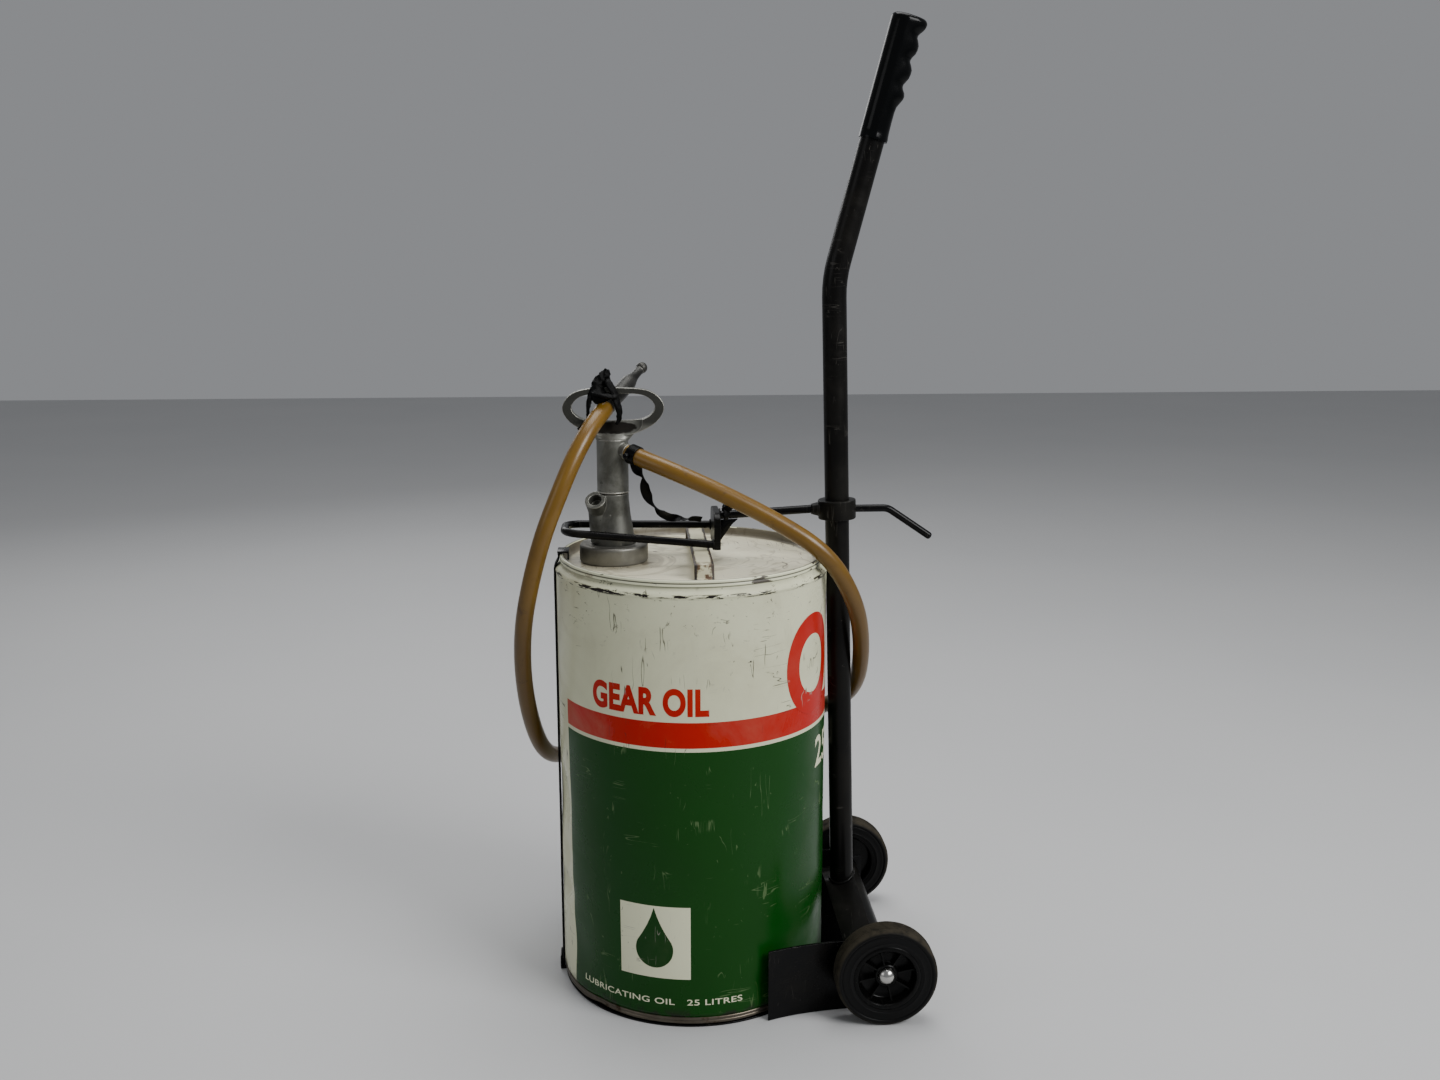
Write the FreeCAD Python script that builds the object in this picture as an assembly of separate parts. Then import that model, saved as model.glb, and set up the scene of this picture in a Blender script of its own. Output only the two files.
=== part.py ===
"""Oil drum on a two-wheeled mast trolley, with a hand pump and a dispensing hose.

Millimetres.  The origin is on the floor, on the drum's axis.  +Z is up, +X points
from the drum to the mast and the axle, and the axle lies along Y.
"""
import FreeCAD
import Part
import math
import os

V = FreeCAD.Vector
UP = V(0, 0, 1)

# ---------------------------------------------------------------- driving dimensions
SHEET = 1.0                     # drum steel sheet
FIT = 0.3                       # gap between curved faces that only lie near each other
RUN = 0.06                      # radial running clearance of a shaft in a hole

# drum
DRUM_R = 143.0                  # body radius of a 25 litre drum
BASE_T = 2.0                    # base plate under the drum
DRUM_FLOOR_Z = BASE_T
DRUM_TOP_Z = 472.0              # top of the upper seam
CHIME_R = 138.7                 # outside of the top seam, necked in from the body
FOOT_SEAM_R = 142.5             # outside of the bottom seam
CHIME_H = 8.0
HEAD_DROP = 10.0                # the heads lie this far inside their seams
SHOULDER_Z = 457.0              # where the body starts to neck in

# pump, on an off-centre filler neck
PUMP_X = -82.0
NECK_R = 30.0
NECK_TOP_Z = 474.5
RING_R = 36.0
RING_TOP_Z = 482.0
BODY_TOP_Z = 535.0
BODY_BASE_R = 22.0
BODY_TOP_R = 16.5
ROD_R = 8.0
BARREL_R = 20.0
BARREL_BOTTOM_Z = 34.0
BORE_R = 18.0
PISTON_Z = 64.0

# tube on the pump's side that the nozzle can be parked in
HOLSTER_ROOT = V(PUMP_X - 15.2, -3.9, 517.5)
HOLSTER_DIR = V(-0.19, -0.67, 0.72).normalize()
HOLSTER_FOOT = V(PUMP_X - 13, -5, RING_TOP_Z + 2)
HOLSTER_R = 11.0
HOLSTER_REACH = 18.0
HOLSTER_FLOOR = 8.0
HOLSTER_BORE_R = 6.6

# handle casting
SKIRT_TOP_Z = 592.0
HANDLE_DEPTH = 15.0
HANDLE_SHIFT = 1.5              # the grip ring sits a little off the pump's axis
OUTLET_Z = 584.5
OUTLET_DIR = V(0.75, -0.61, -0.25)
OUTLET_REACH = 21.0

# hose and nozzle
HOSE_R = 9.0
HOSE_BORE_R = 6.0
NOZZLE_DIR = V(0.471, 0.764, 0.441)
NOZZLE_START = V(-88, -5, 624.5)

# mast
TUBE_R = 12.7                   # one inch steel tube
TUBE_WALL = 2.0
MAST_X0 = 169.5                 # where the mast's line would meet the floor
MAST_LEAN = -0.029              # change of X with Z
BEND_Z = 755.0
BEND_R = 130.0
HANDLE_LEAN = 0.264             # change of X with Z above the bend
GRIP_LOW_Z = 893.0
GRIP_LENGTH = 124.0
GRIP_R = 14.3

# clamp
CLAMP_Z = 515.0
COLLAR_R = 20.0
COLLAR_H = 20.0
CLAMP_ROD_R = 4.1
LOOP_HALF_W = 29.0
LOOP_FRONT_X = -133.0
PLATE_X = 22.0
PLATE_T = 7.0

# yoke: flat bar bent to a low inverted V from cheek to cheek under the mast's foot
YOKE_APEX = V(163, 0, 97)
YOKE_FOOT = V(174, 111, 59)     # a point of the far leg, mirrored for the near one
YOKE_W = 32.0
YOKE_T = 5.0

# wheels and axle
AXLE_X = 192.0
AXLE_R = 6.0
WHEEL_R = 53.0
WHEEL_OUT_Y = 154.0
TYRE_W = 27.0
HUB_R = 35.0
CHEEK_Y = 113.0                 # middle of a cheek plate where the axle passes
CHEEK_T = 3.0
CHEEK_H = 77.0


# ---------------------------------------------------------------- helpers
def write(name, shape):
    """Write one node, and say how big and how sound it is."""
    shape.exportStep(os.path.join("parts", name + ".step"))
    print(f"{name:22s} solids {len(shape.Solids):2d}  valid {shape.isValid()}  "
          f"volume {shape.Volume / 1000:9.2f} cm3")


def unit(vector):
    result = V(vector)
    result.normalize()
    return result


def cylinder(radius, start, axis, length):
    return Part.makeCylinder(radius, length, start, axis)


def tube(outer, inner, start, axis, length):
    over = unit(axis)
    hole = cylinder(inner, start - over, axis, length + 2)
    return cylinder(outer, start, axis, length).cut(hole)


def box(low, high):
    size = high - low
    return Part.makeBox(size.x, size.y, size.z, low)


def turned(points, start=V(0, 0, 0), axis=UP):
    """Solid of revolution of an outline given as (radius, height) pairs."""
    outline = [V(r, 0, z) for r, z in points]
    face = Part.Face(Part.makePolygon(outline + outline[:1]))
    solid = face.revolve(V(0, 0, 0), UP, 360)
    solid.Placement = FreeCAD.Placement(start, FreeCAD.Rotation(UP, axis))
    return solid


def rounded_path(points, radii=None):
    """Straight runs joined by tangent arcs.  Without radii each arc is as large as
    its two runs allow.  Returns the wire, its length and the radii."""
    edges = []
    used = []
    length = 0.0
    last = points[0]
    for i in range(1, len(points) - 1):
        back = points[i - 1] - points[i]
        ahead = points[i + 1] - points[i]
        turn = math.pi - back.getAngle(ahead)
        if radii is None:
            radius = 0.45 * min(back.Length, ahead.Length) / math.tan(turn / 2)
        else:
            radius = radii[i - 1]
        setback = radius * math.tan(turn / 2)
        first = points[i] + unit(back) * setback
        final = points[i] + unit(ahead) * setback
        inward = unit(unit(back) + unit(ahead))
        middle = points[i] + inward * (radius / math.cos(turn / 2) - radius)
        edges.append(Part.LineSegment(last, first).toShape())
        edges.append(Part.Arc(first, middle, final).toShape())
        length += (first - last).Length + radius * turn
        used.append(radius)
        last = final
    edges.append(Part.LineSegment(last, points[-1]).toShape())
    length += (points[-1] - last).Length
    return Part.Wire(edges), length, used


def swept_rod(points, radius, radii=None):
    """Round rod along a rounded path."""
    wire, length, used = rounded_path(points, radii)
    circle = Part.Circle(points[0], unit(points[1] - points[0]), radius)
    solid = wire.makePipeShell([Part.Wire(circle.toShape())], True, True, 1)
    return solid, length, used


def mast_x(z):
    return MAST_X0 + MAST_LEAN * z


MAST_AXIS = unit(V(MAST_LEAN, 0, 1))
GRIP_AXIS = unit(V(HANDLE_LEAN, 0, 1))
GRIP_LOW = V(mast_x(BEND_Z) + HANDLE_LEAN * (GRIP_LOW_Z - BEND_Z), 0, GRIP_LOW_Z)


# ---------------------------------------------------------------- drum
def drum():
    """Rolled body, two heads seamed over it, a strap handle and the filler neck."""
    low = DRUM_FLOOR_Z
    inset = SHEET + FIT

    def head(rim_r, rim, drop, sign):
        """A dished head: flat plate, rising wall and the curl over the body's edge."""
        wall_r = rim_r - 2 * inset - SHEET
        plate = rim - sign * drop
        skirt = rim - sign * (CHIME_H - 1)
        return [(0, plate), (wall_r - 4, plate), (wall_r - SHEET, plate + sign * 3),
                (wall_r - SHEET, rim), (rim_r, rim), (rim_r, skirt), (rim_r - SHEET, skirt),
                (rim_r - SHEET, rim - sign * SHEET), (wall_r, rim - sign * SHEET),
                (wall_r, plate + sign * (3 - SHEET)), (wall_r - 4, plate - sign * SHEET),
                (0, plate - sign * SHEET)]

    outline = [(FOOT_SEAM_R - inset, low + inset), (FOOT_SEAM_R - inset, low + CHIME_H),
               (DRUM_R, low + CHIME_H + 4), (DRUM_R, SHOULDER_Z),
               (CHIME_R - inset, SHOULDER_Z + 5), (CHIME_R - inset, DRUM_TOP_Z - inset)]
    inner = [(r - SHEET, z) for r, z in reversed(outline)]
    write("drum_shell", turned(outline + inner))

    top = turned(head(CHIME_R, DRUM_TOP_Z, HEAD_DROP, 1))
    hole = cylinder(NECK_R - 3, V(PUMP_X, 0, DRUM_TOP_Z - 30), UP, 40)
    write("drum_top_head", top.cut(hole))
    write("drum_bottom_head", turned(head(FOOT_SEAM_R, low, HEAD_DROP - 2, -1)))

    plate_z = DRUM_TOP_Z - HEAD_DROP
    neck = turned([(NECK_R - 3, plate_z), (NECK_R + 3.5, plate_z), (NECK_R + 3.5, plate_z + 1),
                   (NECK_R, plate_z + 1), (NECK_R, NECK_TOP_Z), (NECK_R - 3, NECK_TOP_Z)],
                  V(PUMP_X, 0, 0))
    write("filler_neck", neck)

    strap_x, strap_w, strap_t, rise, reach, foot = 8.0, 20.0, 2.5, 16.0, 98.0, 14.0
    profile = [(-reach - foot, 0), (-reach, 0), (-reach + 3, rise - strap_t),
               (reach - 3, rise - strap_t), (reach, 0), (reach + foot, 0),
               (reach + foot, strap_t), (reach + 2, strap_t), (reach - 1, rise),
               (1 - reach, rise), (-reach - 2, strap_t), (-reach - foot, strap_t)]
    outline = [V(strap_x - strap_w / 2, y, plate_z + z) for y, z in profile]
    strap = Part.Face(Part.makePolygon(outline + outline[:1])).extrude(V(strap_w, 0, 0))
    corners = [edge for edge in strap.Edges
               if abs(edge.CenterOfMass.y) > reach + foot - 0.1 and edge.BoundBox.XLength < 0.1]
    write("drum_handle", strap.makeFillet(strap_w / 2 - 1.0, corners))


# ---------------------------------------------------------------- pump, fixed pieces
def at_pump(z, x=0.0, y=0.0):
    return V(PUMP_X + x, y, z)


def pump_fixed():
    """Everything of the pump that stays with the drum."""
    gasket_t = 2.0
    seat_z = NECK_TOP_Z + gasket_t
    write("neck_gasket", tube(NECK_R - 0.2, NECK_R - 4, at_pump(NECK_TOP_Z), UP, gasket_t))

    lip_z = RING_TOP_Z - 2.5
    ring_low = DRUM_TOP_Z - HEAD_DROP + 1.2
    ring = turned([(NECK_R + FIT, ring_low), (RING_R - 1, ring_low),
                   (RING_R, ring_low + 1.8), (RING_R, lip_z),
                   (RING_R - 2.5, RING_TOP_Z), (BODY_BASE_R + 1, RING_TOP_Z),
                   (BODY_BASE_R + 1, lip_z), (NECK_R + FIT, lip_z)], at_pump(0))
    write("ring_nut", ring)

    flange_top = lip_z - 0.2
    bore = ROD_R + 3.0
    body = turned([(bore, seat_z), (NECK_R - 0.3, seat_z), (NECK_R - 0.3, flange_top),
                   (BODY_BASE_R, flange_top), (BODY_BASE_R, flange_top + 8),
                   (BODY_TOP_R + 1.5, BODY_TOP_Z - 22), (BODY_TOP_R, BODY_TOP_Z - 6),
                   (BODY_TOP_R, BODY_TOP_Z), (bore, BODY_TOP_Z)], at_pump(0))
    holster = cylinder(HOLSTER_R, HOLSTER_ROOT, HOLSTER_DIR, HOLSTER_REACH)
    rise = HOLSTER_ROOT - HOLSTER_FOOT
    boss = cylinder(HOLSTER_R, HOLSTER_FOOT, rise, rise.Length)
    elbow = Part.makeSphere(HOLSTER_R, HOLSTER_ROOT)
    well = cylinder(HOLSTER_BORE_R, HOLSTER_ROOT + HOLSTER_DIR * HOLSTER_FLOOR, HOLSTER_DIR,
                    HOLSTER_REACH)
    core = cylinder(bore, at_pump(seat_z - 1), UP, BODY_TOP_Z - seat_z + 2)
    above = cylinder(BODY_TOP_R + 0.8, at_pump(BODY_TOP_Z), UP, 20.0)
    body = body.fuse([holster, boss, elbow]).cut(core).cut(well).cut(above)
    write("pump_body", body.removeSplitter())

    bush = turned([(ROD_R + RUN, BODY_TOP_Z - 30), (bore - 0.02, BODY_TOP_Z - 30),
                   (bore - 0.02, BODY_TOP_Z - 1), (ROD_R + RUN, BODY_TOP_Z - 1)], at_pump(0))
    write("gland_bush", bush)

    write("pump_barrel", tube(BARREL_R, BORE_R, at_pump(BARREL_BOTTOM_Z), UP,
                              seat_z - BARREL_BOTTOM_Z - 0.2))
    foot_floor = BARREL_BOTTOM_Z - 8
    foot = turned([(5, foot_floor), (BARREL_R, foot_floor), (BARREL_R, BARREL_BOTTOM_Z - 0.2),
                   (BORE_R - 0.2, BARREL_BOTTOM_Z - 0.2), (BORE_R - 0.2, BARREL_BOTTOM_Z + 19),
                   (9.5, BARREL_BOTTOM_Z + 19), (9.5, foot_floor + 4), (5, foot_floor + 4)],
                  at_pump(0))
    pin_start = at_pump(foot_floor + 23, 1 - BORE_R)
    pin_length = 2 * BORE_R - 2
    pin_hole = cylinder(1.25, pin_start - V(2, 0, 0), V(1, 0, 0), pin_length + 4)
    write("foot_valve_seat", foot.cut(pin_hole))
    write("foot_valve_pin", cylinder(1.2, pin_start, V(1, 0, 0), pin_length))
    ball_r = 7.5
    lift = math.sqrt(ball_r ** 2 - 5 ** 2) + FIT
    write("foot_valve_ball", Part.makeSphere(ball_r, at_pump(foot_floor + 4 + lift)))
    basket = tube(15.0, 14.0, at_pump(foot_floor - 10), UP, 9.8)
    floor = cylinder(14.0, at_pump(foot_floor - 10), UP, 1.0)
    strainer = basket.fuse(floor)
    for i in range(8):
        angle = math.radians(45 * i)
        out = V(math.cos(angle), math.sin(angle), 0)
        strainer = strainer.cut(cylinder(2.0, at_pump(foot_floor - 5) + out * 10, out, 8))
    write("strainer", strainer)


# ---------------------------------------------------------------- plunger
def closed_curve(half, y=0.0, lift=0.0, shrink=0.0):
    """Smooth closed outline in an XZ plane, mirrored about the handle's middle."""
    whole = half + [(-x, z) for x, z in reversed(half[1:-1])]
    middle = at_pump(0, HANDLE_SHIFT)
    points = [middle + V(x * (1 - shrink), y, z + lift) for x, z in whole]
    curve = Part.BSplineCurve()
    curve.interpolate(points, PeriodicFlag=True)
    return Part.Face(Part.Wire(curve.toShape()))


def plunger():
    """Handle casting, hollow rod, piston and the hose's fitting."""
    depth = V(0, HANDLE_DEPTH, 0)
    half = HANDLE_DEPTH / 2
    outer_half = [(0, 645.5), (26, 644), (44, 638), (52.5, 625), (45, 610.5), (26, 599.5),
                  (0, 594)]
    inner_half = [(0, 640), (24, 638.5), (37, 634), (43, 624.5), (35, 614.5), (19, 611),
                  (0, 610.4)]
    ring = closed_curve(outer_half, -half).extrude(depth)
    ring = ring.cut(closed_curve(inner_half, -half - 1).extrude(depth + V(0, 2, 0)))
    scoop = closed_curve(inner_half, 4.0, 0.8, 0.3).extrude(V(0, -12, -16))
    ring = ring.cut(scoop)
    taper = [V(-200, y, z) for y, z in ((-half, 585), (half, 585), (half, 608), (4.6, 634),
                                        (4.6, 660), (-4.6, 660), (-4.6, 634), (-half, 608))]
    ring = ring.common(Part.Face(Part.makePolygon(taper + taper[:1])).extrude(V(300, 0, 0)))
    skirt = cylinder(BODY_TOP_R, at_pump(BODY_TOP_Z + 0.8), UP, SKIRT_TOP_Z - BODY_TOP_Z - 0.8)
    neck_low = Part.Wire(Part.Circle(at_pump(SKIRT_TOP_Z - 4), UP, BODY_TOP_R - 1.2).toShape())
    wide = Part.Ellipse(at_pump(599.0, HANDLE_SHIFT), 23.0, half - 1)
    neck_high = Part.Wire(wide.toShape())
    neck = Part.makeLoft([neck_low, neck_high], True)
    outlet_dir = unit(OUTLET_DIR)
    outlet_root = at_pump(OUTLET_Z)
    boss = cylinder(8.6, outlet_root, outlet_dir, OUTLET_REACH)
    handle = ring.fuse(neck).fuse(skirt).fuse(boss)
    duct = cylinder(ROD_R + 0.02, at_pump(BODY_TOP_Z - 1), UP, 45.0)
    way_out = cylinder(4.0, outlet_root, outlet_dir, OUTLET_REACH + 5)
    handle = handle.cut(duct.fuse(way_out))
    write("pump_handle", handle)

    rod_top = BODY_TOP_Z - 1 + 45.0
    write("plunger_rod", tube(ROD_R, 5.0, at_pump(PISTON_Z + 22), UP, rod_top - PISTON_Z - 22))
    piston = turned([(3.5, PISTON_Z), (15.0, PISTON_Z), (15.0, PISTON_Z + 16),
                     (10.0, PISTON_Z + 21.9), (6.0, PISTON_Z + 21.9), (6.0, PISTON_Z + 4),
                     (3.5, PISTON_Z + 4)], at_pump(0))
    write("piston", piston)
    cup = turned([(15.1, PISTON_Z + 2), (BORE_R - RUN, PISTON_Z + 2),
                  (BORE_R - RUN, PISTON_Z + 13), (15.1, PISTON_Z + 13)], at_pump(0))
    write("piston_seal", cup)
    ball_r = 5.0
    lift = math.sqrt(ball_r ** 2 - 3.5 ** 2) + FIT
    write("discharge_ball", Part.makeSphere(ball_r, at_pump(PISTON_Z + 4 + lift)))

    face = outlet_root + outlet_dir * OUTLET_REACH
    tail = tube(HOSE_BORE_R - 0.05, 3.2, face, outlet_dir, 26.0)
    collar = tube(8.0, 3.2, face, outlet_dir, 4.0)
    write("hose_tail", tail.fuse(collar).removeSplitter())
    clip_start = face + outlet_dir * 6.0
    clip = tube(HOSE_R + 1.6, HOSE_R + 0.05, clip_start, outlet_dir, 8.0)
    side = outlet_dir.cross(UP)
    lug = cylinder(3.0, clip_start + outlet_dir * 4 + side * (HOSE_R + 1.0), side, 5.0)
    clear = cylinder(HOSE_R + 0.05, clip_start - outlet_dir * 5, outlet_dir, 20.0)
    write("hose_clip", clip.fuse(lug).cut(clear).removeSplitter())
    return face + outlet_dir * 4.0, outlet_dir


def hose(start, direction):
    """Hose from the handle's outlet, before the mast, round the back of the drum and
    up to the nozzle that is parked through the handle."""
    along = unit(NOZZLE_DIR)
    route = [start, start + direction * 22, V(-16, -45, 562), V(27, -52, 543),
             V(82, -57, 515), V(137, -64, 480), V(170, -46, 424), V(183, -13, 364),
             V(183, 26, 308), V(160, 74, 272), V(113, 126, 245), V(48, 161, 226),
             V(-28, 165, 215), V(-98, 137, 210), V(-144, 84, 215), V(-162, 32, 238),
             V(-173, -6, 285), V(-179, -31, 343), V(-177, -49, 402), V(-166, -61, 456),
             V(-152, -66, 505), V(-136, -63, 544), V(-123, -54, 574), V(-110, -40, 598),
             NOZZLE_START - along * 22, NOZZLE_START]
    wire, length, radii = rounded_path(route)
    outer = Part.Wire(Part.Circle(route[0], unit(route[1] - route[0]), HOSE_R).toShape())
    solid = wire.makePipeShell([outer], True, True, 1)
    print("hose length", round(length, 1), "least radius", round(min(radii), 1),
          "radii", [round(r) for r in radii],
          "volume share", round(solid.Volume / (math.pi * HOSE_R ** 2 * length), 4))
    socket = cylinder(HOSE_BORE_R, start - direction, direction, 24.0)
    write("hose", solid.cut(socket))
    return along


def nozzle(along):
    """Ferrule, tapered body and the ball-ended spout."""
    end = NOZZLE_START
    shape = turned([(0, 0), (8.6, 0), (9.0, 1.5), (9.0, 12), (8.3, 14), (8.5, 30), (8.5, 48),
                    (8.0, 54), (5.4, 62), (4.6, 68), (4.6, 75), (5.6, 77.5), (6.1, 81),
                    (5.4, 84.5), (3.0, 86.4), (0, 86.6)], end, along)
    bore = cylinder(2.0, end + along * 49, along, 40.0)
    write("nozzle", shape.cut(bore))


# ---------------------------------------------------------------- straps of cloth
def ties():
    """Plain solids that hold the place of the cloth tie, the ribbon and the strap."""
    knot = Part.makeSphere(7.0, V(-90, -4, 653))
    tail = cylinder(3.0, V(-91, -9, 651), V(-11, 0, -24), 27.0)
    write("cloth_tie", knot.fuse(tail))

    route = [V(-50, -22, 556), V(-45, -18, 540), V(-44, -12, 527), V(-33, 0, 514),
             V(-14, 14, 506)]
    ribbon, _, _ = swept_rod(route, 2.5, [18, 18, 18])
    write("ribbon", ribbon)

    width, thick, gap = 20.0, 2.0, 0.5
    front = -DRUM_R - gap
    outline = [(front, BASE_T + 2), (front, SHOULDER_Z), (-CHIME_R - gap, SHOULDER_Z + 9),
               (-CHIME_R - gap, DRUM_TOP_Z + 1)]
    outer = [(x - thick, z) for x, z in reversed(outline)]
    points = [V(x, -width / 2, z) for x, z in outline + outer]
    strap = Part.Face(Part.makePolygon(points + points[:1])).extrude(V(0, width, 0))
    write("front_strap", strap)

    top = DRUM_TOP_Z
    profile = [(-CHIME_R - gap - thick, top + 1.1), (-CHIME_R + 8, top + 1.1),
               (-CHIME_R + 8, top - 6), (-CHIME_R + 9.8, top - 6),
               (-CHIME_R + 9.8, top + 3.1), (-CHIME_R - gap - thick, top + 3.1)]
    points = [V(x, -width / 2 - 1, z) for x, z in profile]
    hook = Part.Face(Part.makePolygon(points + points[:1])).extrude(V(0, width + 2, 0))
    write("strap_hook", hook)


# ---------------------------------------------------------------- trolley
def trolley():
    """Mast, yoke, cheeks, base plate, axle and grip."""
    bar = yoke_bar()
    axle_tube_r = 11.0
    axle_space = cylinder(axle_tube_r + 0.01, V(AXLE_X, -CHEEK_Y, WHEEL_R), V(0, 1, 0),
                          2 * CHEEK_Y)
    cheeks_space = cheek(-1, grow=0.05).fuse(cheek(1, grow=0.05))
    yoke = bar.cut(axle_space).cut(cheeks_space)
    write("yoke", max(yoke.Solids, key=lambda solid: solid.Volume))

    low = V(mast_x(80), 0, 80)
    bend = V(mast_x(BEND_Z), 0, BEND_Z)
    top = GRIP_LOW + GRIP_AXIS * (GRIP_LENGTH - 6)
    outer, _, _ = swept_rod([low, bend, top], TUBE_R, [BEND_R])
    inner, _, _ = swept_rod([low, bend, top], TUBE_R - TUBE_WALL, [BEND_R])
    mast = outer.cut(inner).cut(yoke_bar(grow=0.05))
    mast = max(mast.Solids, key=lambda solid: solid.Volume)
    write("mast", mast)

    sections = []
    rear = [(0, 14.6), (4, 14.3), (24, 14.2), (34, 14.6), (47, 20.0), (54, 16.6), (64, 17.2),
            (75, 20.2), (81, 16.8), (91, 17.4), (101, 20.2), (107, 17.0), (115, 18.0),
            (124, 22.0)]
    side = V(0, 1, 0).cross(GRIP_AXIS)
    for along, back in rear:
        middle = GRIP_LOW + GRIP_AXIS * along + side * ((back - GRIP_R) / 2)
        long_half = (back + GRIP_R) / 2
        ellipse = Part.Ellipse(middle + side * long_half,
                               middle + V(0, 1, 0) * (GRIP_R - 0.05), middle)
        sections.append(Part.Wire(ellipse.toShape()))
    grip = Part.makeLoft(sections, True, False)
    grip = grip.cut(cylinder(TUBE_R + 0.02, GRIP_LOW - GRIP_AXIS * 2, GRIP_AXIS,
                             GRIP_LENGTH - 4.0))
    write("hand_grip", grip)

    half = WHEEL_OUT_Y - 3.1
    write("axle", cylinder(AXLE_R, V(AXLE_X, -half, WHEEL_R), V(0, 1, 0), 2 * half))
    sleeve = tube(axle_tube_r, AXLE_R + 0.05, V(AXLE_X, -CHEEK_Y + 2.5, WHEEL_R), V(0, 1, 0),
                  2 * CHEEK_Y - 5)
    write("axle_tube", sleeve)

    for name, sign in (("cheek_right", -1), ("cheek_left", 1)):
        write(name, cheek(sign).cut(cylinder(AXLE_R + 0.05, V(AXLE_X, -200, WHEEL_R),
                                             V(0, 1, 0), 400)))

    plate = cylinder(FOOT_SEAM_R - 0.5, V(0, 0, 0), UP, BASE_T)
    rear_part = box(V(40, -CHEEK_Y + 2, 0), V(AXLE_X, CHEEK_Y - 2, BASE_T))
    tab = box(V(-DRUM_R - 5, -11, 0), V(-DRUM_R + 20, 11, BASE_T))
    lip = box(V(-DRUM_R - 5, -11, 0), V(-DRUM_R - 3, 11, 15))
    base = plate.fuse([rear_part, tab, lip])
    for sign in (-1, 1):
        base = base.cut(cheek(sign, grow=0.05))
    write("base_plate", base.removeSplitter())


def yoke_bar(grow=0.0):
    """The yoke's bar, before it is trimmed to the cheeks and the axle tube."""
    leg = YOKE_FOOT - YOKE_APEX
    across = unit(V(-leg.z, 0, leg.x))
    rise = unit(V(-leg.x, 0, -leg.z))
    fall = math.hypot(leg.x, leg.z) / leg.y
    reach = CHEEK_Y + 5
    drop = YOKE_T * math.hypot(1, fall)
    profile = [(-reach, grow - fall * reach), (0, grow), (reach, grow - fall * reach),
               (reach, -fall * reach - drop), (0, -drop), (-reach, -fall * reach - drop)]
    start = YOKE_APEX - across * (YOKE_W / 2 + grow)
    outline = [start + V(0, y, 0) + rise * up for y, up in profile]
    bar = Part.Face(Part.makePolygon(outline + outline[:1])).extrude(across * (YOKE_W + 2 * grow))
    bends = [edge for edge in bar.Edges if abs(edge.CenterOfMass.y) < 0.01]
    return bar.makeFillet(18.0, bends)


def cheek(sign, grow=0.0):
    """Side plate, bowed outwards, from the drum's flank back to the axle."""
    half = CHEEK_T / 2 + grow
    path = [V(71, sign * 134, 0), V(104, sign * 123, 0), V(140, sign * 116.5, 0),
            V(AXLE_X + 16, sign * CHEEK_Y, 0)]

    def offset(by):
        curve = Part.BSplineCurve()
        moved = [V(p.x, p.y + sign * by, p.z) for p in path]
        curve.interpolate(moved)
        return curve.toShape(), moved

    inside, low_points = offset(-half)
    outside, high_points = offset(half)
    ends = [Part.LineSegment(low_points[0], high_points[0]).toShape(),
            Part.LineSegment(low_points[-1], high_points[-1]).toShape()]
    wire = Part.Wire(Part.__sortEdges__([inside, outside] + ends))
    plate = Part.Face(wire).extrude(V(0, 0, CHEEK_H))
    rear = box(V(AXLE_X + 2, -200, WHEEL_R + 16), V(AXLE_X + 40, 200, 200))
    return plate.cut(rear)


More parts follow.
